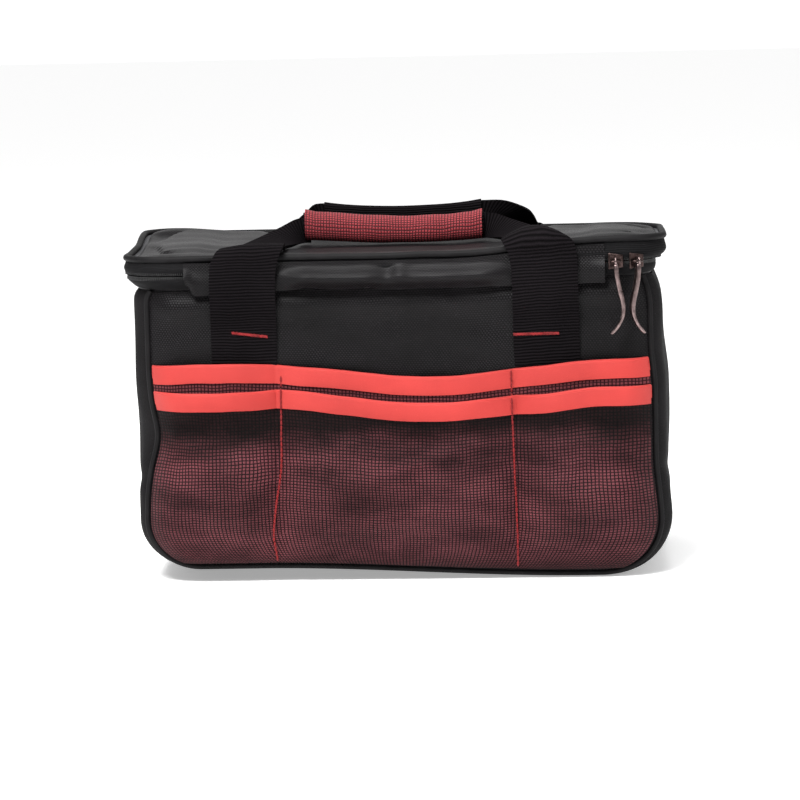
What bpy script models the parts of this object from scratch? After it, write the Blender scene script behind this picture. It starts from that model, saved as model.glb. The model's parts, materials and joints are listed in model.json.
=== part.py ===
"""A soft tool bag with a zipped, padded lid, two webbing handles and a two-layer front pocket.

Metres, +Z up. The bag stands on z = 0 with its base centred on the origin.
Its front faces -Y and its right side, seen from the front, faces +X.
"""
import math

import bpy
import bmesh
from mathutils import Vector

# Fits between pieces
GAP = 0.0003            # seat clearance between neighbouring layers
LOOSE_GAP = 0.0007      # running clearance behind the zip, for the slider

# Zip line round the mouth, which is the widest outline of the bag
ZIP_HALF_WIDTH = 0.167
ZIP_HALF_DEPTH = 0.098
ZIP_CORNER = 0.030
ZIP_ABOVE_BODY = 0.0095
HINGE_SHORT = 0.017     # from the end of the fabric hinge to the start of the corner

# Zip section
COIL_DEPTH = 0.0017
COIL_TALL = 0.0024
COIL_SPLIT = 0.0012
TAPE_THICKNESS = 0.0010
TAPE_TALL = 0.0060
TAPE_SPLIT = 0.0036

# Body shell
BODY_TOP = 0.1840
MOUTH_OVERHANG = 0.0049
SKIN = 0.0014
SIDE_BULGE = 0.0018
SIDE_ROUND = ZIP_CORNER - MOUTH_OVERHANG
BASE_ROUND = 0.010
BASE_CORNER = 0.033
PIPING_RADIUS = 0.0017
PIPING_PROUD = 0.0004

# Layers inside the shell
FOAM = 0.0050
FOAM_SIDE_MARGIN = 0.004
LINING = 0.0008
BOARD_THICKNESS = 0.0030
BOARD_MARGIN = 0.004
SOFT_EDGE = 0.0010

# Band round the mouth
MOUTH_BAND_WALL = 0.0020
MOUTH_BAND_LEDGE = 0.0014

# Lid
LID_EDGE_RISE = 0.0098
LID_RISE = 0.0047
LID_FOAM = 0.0066
LID_ROUND = 0.025
LID_WALL = 0.0020
LID_WALL_TALL = 0.0025

# Storm flap over the front run of the zip
FLAP_LEFT_SHORT = 0.006
FLAP_RIGHT_SHORT = 0.0021
FLAP_THICKNESS = 0.0014
FLAP_DROP = 0.008
FLAP_SHOULDER = 0.0033

# Front pocket, two layers
POCKET_CLOTH = 0.0012
POCKET_STANDOFF = 0.0048
POCKET_DROP = 0.0500
POCKET_SAG = 0.0070
POCKET_STEP = 0.0165
POCKET_RISE = 0.045
DIVIDER_BESIDE_STRAP = 0.0005
DIVIDER_SEAM = 0.0015
STITCH_WIDTH = 0.0012
STITCH_THICKNESS = 0.0005
BINDING_WIDTH = 0.0120
BINDING_THICKNESS = 0.0008

# Webbing and handles
WEBBING_WIDTH = 0.040
WEBBING = 0.0022
STRAP_FROM_SIDE = 0.0686
STRAP_LIFT_OFF = 0.0030
STRAP_EASE = 0.004
TACK_RISE = 0.0192
TACK_TALL = 0.0020
TACK_THICKNESS = 0.0008
PIVOT_RISE = 0.0035
PIVOT_OUT = 0.0019
FRONT_GRIP_Y = -0.028
REAR_GRIP_Y = 0.045
GRIP_SHORT = 0.0185
GRIP_CORE_OVERRUN = 0.0012
SLEEVE_WALL = 0.0020
FRONT_CORE_HALF_DEPTH = 0.0039
FRONT_GRIP_HALF_TALL = 0.0073
FRONT_GRIP_END_HALF_TALL = 0.0092
REAR_GRIP_HALF_TALL = 0.0080
REAR_GRIP_END_HALF_TALL = 0.0095
REAR_GRIP_HALF_DEPTH = 0.0030

# Zip sliders and their pulls
SLIDER_LENGTH = 0.009
SLIDER_TALL = 0.0098
SLIDER_PLATE = 0.0012
SLIDER_BACK_PLATE = 0.0010
SLIDER_WEB = 0.0006
BRIDGE_HALF_LENGTH = 0.0033
BRIDGE_BAR = 0.0014
PULL_EYE_RADIUS = 0.0029
PULL_EYE_BORE = 0.00125
PULL_LENGTH = 0.0438
PULL_WIDTH = 0.0050
PULL_THICKNESS = 0.0025
PULL_SWEEP = 0.0042
LEFT_SLIDER_SHORT = 0.0024
RIGHT_SLIDER_TURN = math.radians(19)

# Mesh steps
CORNER_STEPS = 6
PIPING_SIDES = 6
OVAL_SIDES = 10

# Derived sizes
QUARTER_SHARE = 1 - math.cos(math.radians(45))
RUN_SHARE = math.sin(math.radians(45))
ZIP_HEIGHT = BODY_TOP + ZIP_ABOVE_BODY
ZIP_STRAIGHT = ZIP_HALF_WIDTH - ZIP_CORNER
HINGE_HALF_WIDTH = ZIP_STRAIGHT - HINGE_SHORT
LID_PIPING_HEIGHT = ZIP_HEIGHT + LID_EDGE_RISE
BODY_HALF_WIDTH = ZIP_HALF_WIDTH - MOUTH_OVERHANG
BODY_HALF_DEPTH = ZIP_HALF_DEPTH - MOUTH_OVERHANG
SEAM_HALF_WIDTH = BODY_HALF_WIDTH - QUARTER_SHARE * SIDE_ROUND
SEAM_FLOOR = QUARTER_SHARE * BASE_ROUND
CORNER_HEIGHT = SEAM_FLOOR + BASE_CORNER
TAPE_OUT = -COIL_DEPTH - GAP
TAPE_IN = TAPE_OUT - TAPE_THICKNESS
UPPER_COIL_LOW = ZIP_HEIGHT + COIL_SPLIT / 2
LOWER_COIL_HIGH = ZIP_HEIGHT - COIL_SPLIT / 2
UPPER_TAPE_HIGH = LID_PIPING_HEIGHT - PIPING_RADIUS - GAP
UPPER_TAPE_LOW = ZIP_HEIGHT + TAPE_SPLIT / 2
LOWER_TAPE_HIGH = ZIP_HEIGHT - TAPE_SPLIT / 2
LOWER_TAPE_LOW = LOWER_TAPE_HIGH - TAPE_TALL
BAND_OUT = TAPE_IN - GAP
BAND_IN = BAND_OUT - MOUTH_BAND_WALL
BAND_LOW = BODY_TOP + GAP
BAND_HIGH = ZIP_HEIGHT - SLIDER_TALL / 2 - GAP
LAYERS_IN = SKIN + GAP + FOAM + GAP
BASE_LAYERS = SKIN + GAP + BOARD_THICKNESS + GAP
LINING_OUT = -MOUTH_OVERHANG - LAYERS_IN
LID_PIPING_OUT = TAPE_IN
LID_SKIN_OUT = LID_PIPING_OUT - PIPING_RADIUS - GAP
LID_TOP = LID_PIPING_HEIGHT + LID_RISE
LID_INNER_OUT = BAND_OUT - LID_WALL - GAP
LEFT_SLIDER_X = ZIP_STRAIGHT - LEFT_SLIDER_SHORT
FLAP_LEFT = -(ZIP_STRAIGHT - FLAP_LEFT_SHORT)
FLAP_RIGHT = LEFT_SLIDER_X - SLIDER_LENGTH / 2 - FLAP_RIGHT_SHORT
FLAP_BOTTOM = ZIP_HEIGHT - FLAP_DROP
STRAP_X = BODY_HALF_WIDTH - STRAP_FROM_SIDE
STRAP_TOP = LID_PIPING_HEIGHT + PIPING_RADIUS
GRIP_HALF_LENGTH = STRAP_X - WEBBING_WIDTH / 2 - GRIP_SHORT
DIVIDER_X = STRAP_X - WEBBING_WIDTH / 2 - DIVIDER_BESIDE_STRAP
POCKET_EDGE_HEIGHT = BODY_TOP - POCKET_DROP
POCKET_EDGE_INSET = PIPING_RADIUS + PIPING_PROUD + 2 * GAP
STRAP_FRONT = ZIP_HALF_DEPTH + GAP + FLAP_THICKNESS + GAP
STRAP_REAR = ZIP_HALF_DEPTH + LID_PIPING_OUT + PIPING_RADIUS + GAP
PIVOT_HEIGHT = STRAP_TOP + PIVOT_RISE
GRIP_REST = LID_TOP + GAP
BRIDGE_OUT = GAP + SLIDER_PLATE + GAP + PULL_EYE_RADIUS

# Where the corner of a panel starts and ends, clear of its piping
ARC_STEPS = 3
FLAT_SHARES = (-1.0, -0.5, 0.0, 0.5, 1.0)
SIDE_SHARES = (0.0, 0.2, 0.4, 0.6, 0.8)
BASE_SHARES = (-0.5, 0.0, 0.5)
POCKET_ROW_SHARES = (0.0, 0.03, 0.08, 0.17, 0.32, 0.52, 0.76, 1.0)
POCKET_CENTRE_SHARES = (-1.0, -0.94, -0.8, -0.45, 0.0, 0.45, 0.8, 0.94, 1.0)
POCKET_SIDE_SHARES = (0.0, 0.06, 0.2, 0.5, 0.7, 0.82, 0.92, 1.0)
LID_DOME_SHARES = ((0.0, 0.0), (0.12, 0.5), (0.36, 0.8), (1.0, 1.0))
GRIP_SHARES = (-1.0, -0.7, -0.35, 0.0, 0.35, 0.7, 1.0)

# Free webbing from pivot to grip: share of the way back, then for the inner and the outer edge
# the share of the way in to the grip's end and the share of the way up to the grip's top
WEBBING_ROUTE_SHARES = (
    (0.00, 0.00, 0.00, 0.00, 0.00),
    (0.05, 0.00, 0.00, 0.12, 0.12),
    (0.17, 0.00, 0.00, 0.15, 0.16),
    (0.54, 0.03, 0.03, 0.14, 0.20),
    (0.81, 0.20, 0.17, 0.08, 0.42),
    (0.95, 0.56, 0.52, 0.02, 0.82),
    (1.00, 1.00, 1.00, 0.00, 1.00),
)

# Edge of a pull seen from the front: share of its length down, share of its sweep sideways
PULL_SHARES = (
    (0.04, 0.0),
    (0.20, 0.16),
    (0.38, 0.50),
    (0.58, 0.98),
    (0.74, 0.92),
    (0.89, 0.22),
    (1.00, -0.80),
)


def clear_scene():
    for item in list(bpy.data.objects):
        bpy.data.objects.remove(item, do_unlink=True)


def make_material(name, colour, roughness, metallic=0.0):
    made = bpy.data.materials.new(name)
    made.use_nodes = True
    shader = made.node_tree.nodes["Principled BSDF"]
    shader.inputs["Base Color"].default_value = (*colour, 1.0)
    shader.inputs["Roughness"].default_value = roughness
    shader.inputs["Metallic"].default_value = metallic
    return made


def add_piece(name, points, faces, finish, smooth=False):
    """Put a closed mesh in the scene with its faces turned outwards."""
    mesh = bpy.data.meshes.new(name)
    work = bmesh.new()
    corners = [work.verts.new(point) for point in points]
    for face in faces:
        work.faces.new([corners[index] for index in face])
    bmesh.ops.recalc_face_normals(work, faces=work.faces)
    work.to_mesh(mesh)
    work.free()
    if smooth:
        mesh.shade_smooth()
        mesh.set_sharp_from_angle(angle=math.radians(40))
    piece = bpy.data.objects.new(name, mesh)
    piece.data.materials.append(finish)
    bpy.context.scene.collection.objects.link(piece)
    return piece


def grid_faces(rows, columns):
    faces = []
    for row in range(rows - 1):
        for column in range(columns - 1):
            first = row * columns + column
            faces.append((first, first + 1, first + columns + 1, first + columns))
    return faces


def add_shell(name, outer, inner, finish, capped=False, smooth=True):
    """A layer between two matching grids of points; capped fills the last row's outline flat."""
    columns = len(outer[0])
    faces = grid_faces(len(outer), columns)
    if capped:
        last = (len(outer) - 1) * columns
        faces.append(tuple(range(last + columns - 1, last - 1, -1))[::-1])
    outside = [point for row in outer for point in row]
    inside = [point for row in inner for point in row]
    count = len(outside)
    sides = set()
    for face in faces:
        sides.update(zip(face, face[1:] + face[:1]))
    solid = list(faces)
    solid += [tuple(index + count for index in reversed(face)) for face in faces]
    for start, end in sorted(sides):
        if (end, start) not in sides:
            solid.append((end, start, start + count, end + count))
    return add_piece(name, outside + inside, solid, finish, smooth)


def add_loft(name, rings, finish, closed=False, smooth=True):
    """Skin over matching closed rings; its ends are filled, or its last ring joins its first."""
    size = len(rings[0])
    points = [point for ring in rings for point in ring]
    faces = []
    spans = len(rings) if closed else len(rings) - 1
    for step in range(spans):
        here = step * size
        there = (step + 1) % len(rings) * size
        for side in range(size):
            after = (side + 1) % size
            faces.append((here + side, here + after, there + after, there + side))
    if not closed:
        faces.append(tuple(range(size)))
        faces.append(tuple(range(len(points) - 1, len(points) - size - 1, -1)))
    return add_piece(name, points, faces, finish, smooth)


def add_block(name, low, high, finish, soften):
    """A box between two corners with softened edges."""
    xs, ys, zs = zip(low, high)
    points = [Vector((x, y, z)) for z in zs for x, y in ((xs[0], ys[0]), (xs[1], ys[0]),
                                                         (xs[1], ys[1]), (xs[0], ys[1]))]
    block = add_loft(name, [points[:4], points[4:]], finish, smooth=False)
    bevel = block.modifiers.new("softened_edges", "BEVEL")
    bevel.width = soften
    bevel.segments = 1
    return block


def zip_rail(out, height, part="ring"):
    """Points round the mouth, a given way outside the zip line.

    A ring is closed; an open rail stops at both ends of the fabric hinge.
    """
    half_width = ZIP_HALF_WIDTH + out
    half_depth = ZIP_HALF_DEPTH + out
    radius = ZIP_CORNER + out
    points = []
    for quarter, (side, end) in enumerate(((-1, 1), (-1, -1), (1, -1), (1, 1))):
        centre = Vector((side * (half_width - radius), end * (half_depth - radius), height))
        for step in range(CORNER_STEPS + 1):
            turn = math.radians(90) * (quarter + 1 + step / CORNER_STEPS)
            points.append(centre + radius * Vector((math.cos(turn), math.sin(turn), 0)))
    if part == "open":
        points.insert(0, Vector((-HINGE_HALF_WIDTH, half_depth, height)))
        points.append(Vector((HINGE_HALF_WIDTH, half_depth, height)))
    return points


def add_zip_band(name, section, finish, part="ring"):
    """Sweep a section of (out, height) pairs round the mouth."""
    rails = [zip_rail(out, height, part) for out, height in section]
    rings = [list(ring) for ring in zip(*rails)]
    return add_loft(name, rings, finish, closed=part == "ring")


def tube_ring(centre, across, up, radius, sides):
    ring = []
    for side in range(sides):
        turn = math.tau * side / sides
        ring.append(centre + radius * (math.cos(turn) * across + math.sin(turn) * up))
    return ring


def seam_stations():
    """Places along the panel seam and its outward directions in the front view."""
    inner = SEAM_HALF_WIDTH - BASE_CORNER
    left = []
    for share in SIDE_SHARES:
        height = BODY_TOP + share * (CORNER_HEIGHT - BODY_TOP)
        left.append((-SEAM_HALF_WIDTH, height, -1.0, 0.0))
    for step in range(CORNER_STEPS + 1):
        turn = math.radians(90) * step / CORNER_STEPS
        side, down = -math.cos(turn), -math.sin(turn)
        left.append((-inner + BASE_CORNER * side, CORNER_HEIGHT + BASE_CORNER * down, side, down))
    base = [(share * inner, SEAM_FLOOR, 0.0, -1.0) for share in BASE_SHARES]
    right = [(-x, z, -side, down) for x, z, side, down in reversed(left)]
    return left + base + right


def edge_round(side):
    """Radius of the rounded edge between panel and gusset, large at the sides, small below."""
    return BASE_ROUND + (SIDE_ROUND - BASE_ROUND) * side * side


def edge_point(station, turn, inset, face):
    """A point on the rounded edge: turn 0 faces out of the gusset, 90 degrees out of the panel."""
    x, z, side, down = station
    radius = edge_round(side)
    inward = RUN_SHARE * radius
    reach = (radius - inset) * math.cos(turn) - inward
    depth = BODY_HALF_DEPTH - radius + (radius - inset) * math.sin(turn)
    return Vector((x + reach * side, face * depth, z + reach * down))


def piping_clearance(station):
    """Half the angle that the piping takes out of the rounded edge."""
    return (PIPING_RADIUS + GAP) / edge_round(station[2])


def body_panel(name, face, finish):
    """Front or back panel: a flat field with rounded edges that end at the piping."""
    stations = seam_stations()
    surfaces = []
    for inset in (0.0, SKIN):
        rows = []
        for step in range(ARC_STEPS + 1):
            row = []
            for station in stations:
                start = math.radians(45) + piping_clearance(station)
                turn = start + (math.radians(90) - start) * step / ARC_STEPS
                row.append(edge_point(station, turn, inset, face))
            rows.append(row)
        surfaces.append(rows)
    return add_shell(name, surfaces[0], surfaces[1], finish, capped=True)


def gusset(name, finish):
    """One strip down the left side, under the bag and up the right side."""
    surfaces = []
    for inset in (0.0, SKIN):
        rows = []
        for station in seam_stations():
            x, z, side, down = station
            radius = edge_round(side)
            flat = BODY_HALF_DEPTH - radius
            level = (z - CORNER_HEIGHT) / (BODY_TOP - CORNER_HEIGHT)
            swell = SIDE_BULGE * abs(side) * math.sin(math.pi * min(max(level, 0.0), 1.0))
            end = math.radians(45) - piping_clearance(station)
            turns = [end * (1 - step / ARC_STEPS) for step in range(ARC_STEPS)]
            row = [edge_point(station, turn, inset, -1) for turn in turns]
            for share in FLAT_SHARES:
                out = QUARTER_SHARE * radius - inset + swell * (1 - share * share)
                row.append(Vector((x + out * side, share * flat, z + out * down)))
            row += [edge_point(station, turn, inset, 1) for turn in reversed(turns)]
            rows.append(row)
        surfaces.append(rows)
    return add_shell(name, surfaces[0], surfaces[1], finish)


def body_piping(name, face, finish):
    """Cord sewn into the seam between a panel and the gusset."""
    diagonal = math.radians(45)
    rings = []
    for station in seam_stations():
        centre = edge_point(station, diagonal, -PIPING_PROUD, face)
        across = Vector((station[2], 0, station[3]))
        rings.append(tube_ring(centre, across, Vector((0, 1, 0)), PIPING_RADIUS, PIPING_SIDES))
    return add_loft(name, rings, finish)


def seam_half_width(height):
    """Half the width between the two seams at a height, narrower round the bottom corners."""
    drop = min(max(CORNER_HEIGHT - height, 0.0), BASE_CORNER)
    return SEAM_HALF_WIDTH - BASE_CORNER + math.sqrt(BASE_CORNER**2 - drop**2)


def panel_depth(x, z):
    """How far in front of the bag's middle the outside of the front panel lies."""
    inner = SEAM_HALF_WIDTH - BASE_CORNER
    beyond = abs(x) - inner
    below = CORNER_HEIGHT - z
    if beyond > 0 and below > 0:
        reach = math.hypot(beyond, below)
        distance = BASE_CORNER - reach
        side = beyond / reach
    elif SEAM_HALF_WIDTH - abs(x) < z - SEAM_FLOOR:
        distance = SEAM_HALF_WIDTH - abs(x)
        side = 1.0
    else:
        distance = z - SEAM_FLOOR
        side = 0.0
    radius = edge_round(side)
    run = RUN_SHARE * radius
    short = max(run - max(distance, 0.0), 0.0)
    return BODY_HALF_DEPTH - radius + math.sqrt(radius**2 - short**2)


def pocket_top(x, step):
    """Height of a pocket layer's top edge, which sags towards the middle."""
    share = min(abs(x) / SEAM_HALF_WIDTH, 1.0)
    return POCKET_EDGE_HEIGHT - POCKET_SAG * (1 - share * share) - step * POCKET_STEP


def pocket_columns():
    """Columns across the pocket: how far out, and as a share of the way to the side seam."""
    centre = DIVIDER_X - DIVIDER_SEAM
    outer = DIVIDER_X + DIVIDER_SEAM
    middle = [(share * centre, 0.0, 1 - abs(share) ** 4) for share in POCKET_CENTRE_SHARES]
    sides = [(outer, share, 1 - abs(2 * share - 1) ** 4) for share in POCKET_SIDE_SHARES]
    left = [(-x, -share, swell) for x, share, swell in reversed(sides)]
    return left + middle + sides


def pocket_spot(column, height):
    """Sideways place of a column at a height."""
    x, share, swell = column
    room = seam_half_width(height) - POCKET_EDGE_INSET - abs(x)
    return x + share * room


def pocket_depth(column, height, layer):
    """Depth of the inner face of a pocket layer; 0 lies on the panel and 1 on layer 0."""
    rise = min(max((height - SEAM_FLOOR) / POCKET_RISE, 0.0), 1.0)
    swell = column[2] * math.sin(math.radians(90) * rise)
    depth = panel_depth(pocket_spot(column, height), height)
    return depth + GAP + POCKET_STANDOFF * swell + layer * (
        POCKET_CLOTH + GAP + POCKET_STANDOFF * swell)


def pocket_layer(name, layer, finish):
    floor = SEAM_FLOOR + POCKET_EDGE_INSET
    surfaces = []
    for thickness in (POCKET_CLOTH, 0.0):
        rows = []
        for row_share in POCKET_ROW_SHARES:
            row = []
            for column in pocket_columns():
                top = pocket_top(pocket_spot(column, POCKET_EDGE_HEIGHT), layer)
                height = floor + row_share * (top - floor)
                depth = pocket_depth(column, height, layer) + thickness
                row.append(Vector((pocket_spot(column, height), -depth, height)))
            rows.append(row)
        surfaces.append(rows)
    return add_shell(name, surfaces[0], surfaces[1], finish)


def pocket_binding(name, layer, finish):
    """Tape down the front of a pocket layer, turned over its top edge."""
    lip = POCKET_CLOTH
    front = POCKET_CLOTH + GAP
    rings = []
    for column in pocket_columns():
        x = pocket_spot(column, POCKET_EDGE_HEIGHT)
        top = pocket_top(x, layer)
        upper = pocket_depth(column, top, layer)
        lower = pocket_depth(column, top - BINDING_WIDTH, layer)
        section = (
            (lower + front, top - BINDING_WIDTH),
            (lower + front + BINDING_THICKNESS, top - BINDING_WIDTH),
            (upper + front + BINDING_THICKNESS, top + GAP + BINDING_THICKNESS),
            (upper + front - lip, top + GAP + BINDING_THICKNESS),
            (upper + front - lip, top + GAP),
            (upper + front, top + GAP),
        )
        rings.append([Vector((x, -depth, height)) for depth, height in section])
    return add_loft(name, rings, finish, smooth=False)


def divider_stitch(name, side, finish):
    """Row of stitching that closes both pocket layers onto the panel."""
    x = side * DIVIDER_X
    seam = (x, 0.0, 0.0)
    floor = SEAM_FLOOR + POCKET_EDGE_INSET
    top = pocket_top(x, 1) - BINDING_WIDTH - GAP
    surfaces = []
    for thickness in (STITCH_THICKNESS, 0.0):
        rows = []
        for share in POCKET_ROW_SHARES:
            height = floor + share * (top - floor)
            depth = pocket_depth(seam, height, 1) + POCKET_CLOTH + GAP + thickness
            half = STITCH_WIDTH / 2
            rows.append([Vector((x - half, -depth, height)), Vector((x + half, -depth, height))])
        surfaces.append(rows)
    return add_shell(name, surfaces[0], surfaces[1], finish, smooth=False)


def lining_tub(name, finish):
    """Lining that hangs from the mouth, with rounded lower corners like the bag's."""
    inner = SEAM_HALF_WIDTH - BASE_CORNER
    floor = BASE_LAYERS
    top_half = ZIP_HALF_WIDTH + LINING_OUT
    levels = [(top_half, BODY_TOP)]
    for step in range(5):
        turn = math.radians(90) * step / 5
        half = inner + (top_half - inner) * math.cos(turn)
        levels.append((half, CORNER_HEIGHT - (CORNER_HEIGHT - floor) * math.sin(turn)))
    levels.append((inner, floor))
    surfaces = []
    for inset in (0.0, LINING):
        rings = []
        for half, height in levels:
            level = height if height > floor else floor + inset
            rings.append([Vector((point.x * (half - inset) / (top_half - inset), point.y, level))
                          for point in zip_rail(LINING_OUT - inset, height)])
        surfaces.append(rings)
    rings = list(reversed(surfaces[0])) + surfaces[1]
    return add_loft(name, rings, finish)


def inner_layers(foam, board, lining):
    """Foam slabs in the walls, the board in the base and the lining over them."""
    reach = SEAM_HALF_WIDTH - RUN_SHARE * SIDE_ROUND - FOAM_SIDE_MARGIN
    low = BASE_ROUND + FOAM_SIDE_MARGIN
    outer = BODY_HALF_DEPTH - SKIN - GAP
    top = BODY_TOP - GAP
    wide = SEAM_HALF_WIDTH - BASE_CORNER
    floor = SEAM_FLOOR + BASE_CORNER
    for name, face in (("front_foam", -1), ("back_foam", 1)):
        near, far = sorted((face * (outer - FOAM), face * outer))
        rings = []
        for depth in (near, far):
            outline = [(-reach, top), (-reach, floor), (-wide, low), (wide, low),
                       (reach, floor), (reach, top)]
            rings.append([Vector((x, depth, z)) for x, z in outline])
        add_loft(name, rings, foam, smooth=False)
    outer = BODY_HALF_WIDTH - SKIN - GAP
    reach = BODY_HALF_DEPTH - SIDE_ROUND - FOAM_SIDE_MARGIN
    for name, face in (("left_foam", -1), ("right_foam", 1)):
        near, far = sorted((face * (outer - FOAM), face * outer))
        add_block(name, (near, -reach, floor), (far, reach, top), foam, SOFT_EDGE)
    reach = BODY_HALF_DEPTH - BASE_ROUND - BOARD_MARGIN
    low = SKIN + GAP
    add_block("base_board", (-wide, -reach, low), (wide, reach, low + BOARD_THICKNESS), board,
              SOFT_EDGE)
    lining_tub("lining", lining)


def mouth_band(name, finish):
    """Folded band that closes the wall layers at the mouth and carries the lower zip tape."""
    low = BAND_LOW
    ledge = low + MOUTH_BAND_LEDGE
    section = (
        (-MOUTH_OVERHANG, low),
        (BAND_OUT, ledge),
        (BAND_OUT, BAND_HIGH),
        (BAND_IN, BAND_HIGH),
        (BAND_IN, ledge),
        (LINING_OUT - LINING, ledge),
        (LINING_OUT - LINING, low),
    )
    return add_zip_band(name, section, finish)


def zip_halves(tape, coil):
    """Both tapes with their coil halves, from one end of the hinge round to the other."""
    def box(out, inner, low, high):
        return ((out, low), (out, high), (inner, high), (inner, low))

    add_zip_band("lower_zip_tape", box(TAPE_OUT, TAPE_IN, LOWER_TAPE_LOW, LOWER_TAPE_HIGH),
                 tape, "open")
    add_zip_band("upper_zip_tape", box(TAPE_OUT, TAPE_IN, UPPER_TAPE_LOW, UPPER_TAPE_HIGH),
                 tape, "open")
    add_zip_band("lower_zip_coil", box(0.0, -COIL_DEPTH, LOWER_COIL_HIGH - COIL_TALL,
                                       LOWER_COIL_HIGH), coil, "open")
    add_zip_band("upper_zip_coil", box(0.0, -COIL_DEPTH, UPPER_COIL_LOW,
                                       UPPER_COIL_LOW + COIL_TALL), coil, "open")


def hinge_strip(name, finish):
    """Cloth across the back that the lid turns on."""
    reach = HINGE_HALF_WIDTH - GAP
    add_block(name, (-reach, ZIP_HALF_DEPTH + TAPE_IN, LOWER_TAPE_LOW),
              (reach, ZIP_HALF_DEPTH + TAPE_OUT, UPPER_TAPE_HIGH), finish, TAPE_THICKNESS / 4)


def lid_layers(cloth, cord, foam, lining):
    """Padded lid: domed top, piping, wall for the upper tape, foam and lining."""
    def dome(out, low, rise, drop):
        """Rows of the domed surface, each further in and higher than the last."""
        rows = []
        for inward, lift in LID_DOME_SHARES:
            rail = zip_rail(out - inward * LID_ROUND, low + rise * lift - drop)
            rows.append(rail)
        return rows

    top = dome(LID_SKIN_OUT, LID_PIPING_HEIGHT, LID_RISE, 0.0)
    under = dome(LID_SKIN_OUT - GAP, LID_PIPING_HEIGHT, LID_RISE, SKIN)
    rings = list(reversed(under)) + top
    add_loft("lid_top_panel", rings, cloth)

    centre = [zip_rail(LID_PIPING_OUT, LID_PIPING_HEIGHT), zip_rail(0.0, LID_PIPING_HEIGHT)]
    rings = []
    for point, further in zip(*centre):
        across = (further - point).normalized()
        rings.append(tube_ring(point, across, Vector((0, 0, 1)), PIPING_RADIUS, PIPING_SIDES))
    add_loft("lid_piping", rings, cord, closed=True)

    wall_low = UPPER_TAPE_HIGH - LID_WALL_TALL
    wall = ((BAND_OUT, wall_low), (BAND_OUT, UPPER_TAPE_HIGH),
            (BAND_OUT - LID_WALL, UPPER_TAPE_HIGH), (BAND_OUT - LID_WALL, wall_low))
    add_zip_band("lid_wall", wall, cloth)

    foam_top = LID_TOP - SKIN - GAP
    foam_low = foam_top - LID_FOAM
    fall = LID_PIPING_HEIGHT - PIPING_RADIUS - 2 * GAP - foam_low
    crown = foam_top - foam_low
    foam_rows = [(0.0, 0.0), (0.0, fall), (LID_ROUND / 2, crown - SOFT_EDGE), (LID_ROUND, crown)]
    rings = [zip_rail(LID_INNER_OUT - inward, foam_low + lift) for inward, lift in foam_rows]
    add_loft("lid_foam", rings, foam)

    rings = [zip_rail(LID_INNER_OUT, foam_low - GAP - LINING), zip_rail(LID_INNER_OUT, foam_low - GAP)]
    add_loft("lid_lining", rings, lining)


def zip_flap(name, finish):
    """Storm flap sewn under the lid's front piping, hanging over the zip."""
    hang = GAP
    tucked = TAPE_OUT + GAP
    shoulder = UPPER_TAPE_HIGH - FLAP_SHOULDER
    section = (
        (tucked, UPPER_TAPE_HIGH),
        (hang, shoulder),
        (hang, FLAP_BOTTOM),
        (hang + FLAP_THICKNESS, FLAP_BOTTOM),
        (hang + FLAP_THICKNESS, shoulder),
        (tucked + FLAP_THICKNESS, UPPER_TAPE_HIGH),
    )
    rings = []
    for x in (FLAP_LEFT, FLAP_RIGHT):
        rings.append([Vector((x, -ZIP_HALF_DEPTH - out, height)) for out, height in section])
    return add_loft(name, rings, finish, smooth=False)


def thicken(piece, thickness):
    """Give a flat piece its thickness, half to each side."""
    solidify = piece.modifiers.new("thickness", "SOLIDIFY")
    solidify.thickness = thickness
    solidify.offset = 0.0
    solidify.use_even_offset = True


def strap_foot():
    """Height where a strap comes out above the binding of the pocket."""
    return pocket_top(STRAP_X, 0) + 2 * BINDING_THICKNESS + 2 * GAP


def sewn_strap(name, side, face, proud, finish):
    """Webbing sewn to the panel, from its foot up past the zip to the fold of the handle."""
    half = WEBBING / 2
    flat = BODY_HALF_DEPTH + GAP + half
    lift_off = strap_foot() + TACK_RISE + STRAP_LIFT_OFF
    line = ((flat, strap_foot()), (flat, lift_off), (proud + half - GAP, FLAP_BOTTOM - STRAP_EASE),
            (proud + half, FLAP_BOTTOM), (proud + half, STRAP_TOP))
    points = []
    for depth, height in line:
        for edge in (-1, 1):
            x = side * STRAP_X + edge * WEBBING_WIDTH / 2
            points.append(Vector((x, face * depth, height)))
    strap = add_piece(name, points, grid_faces(len(line), 2), finish)
    thicken(strap, WEBBING)


def bar_tack(name, side, face, finish):
    """Dense bar of thread that takes the load of a handle."""
    near = BODY_HALF_DEPTH + GAP + WEBBING + GAP
    ends = sorted((face * near, face * (near + TACK_THICKNESS)))
    reach = WEBBING_WIDTH / 2
    low = strap_foot() + TACK_RISE - TACK_TALL / 2
    add_block(name, (side * STRAP_X - reach, ends[0], low),
              (side * STRAP_X + reach, ends[1], low + TACK_TALL), finish, TACK_THICKNESS / 4)


def free_webbing(name, side, pivot_y, grip_y, top, finish):
    """Webbing from the fold at the lid's edge over the lid, turned on edge at the grip."""
    rest = GRIP_REST + WEBBING / 2 + GAP
    end = GRIP_HALF_LENGTH + GRIP_CORE_OVERRUN + GAP
    points = []
    for back, inner_in, outer_in, inner_up, outer_up in WEBBING_ROUTE_SHARES:
        y = pivot_y + back * (grip_y - pivot_y)
        for edge, inward, up in ((-1, inner_in, inner_up), (1, outer_in, outer_up)):
            start = STRAP_X + edge * WEBBING_WIDTH / 2
            x = start + inward * (end - start)
            z = PIVOT_HEIGHT + min(back / WEBBING_ROUTE_SHARES[2][0], 1.0) * (rest - PIVOT_HEIGHT)
            points.append(Vector((side * x, y, z + up * (top - rest))))
    webbing = add_piece(name, points, grid_faces(len(WEBBING_ROUTE_SHARES), 2), finish)
    thicken(webbing, WEBBING)
    return webbing


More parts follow.
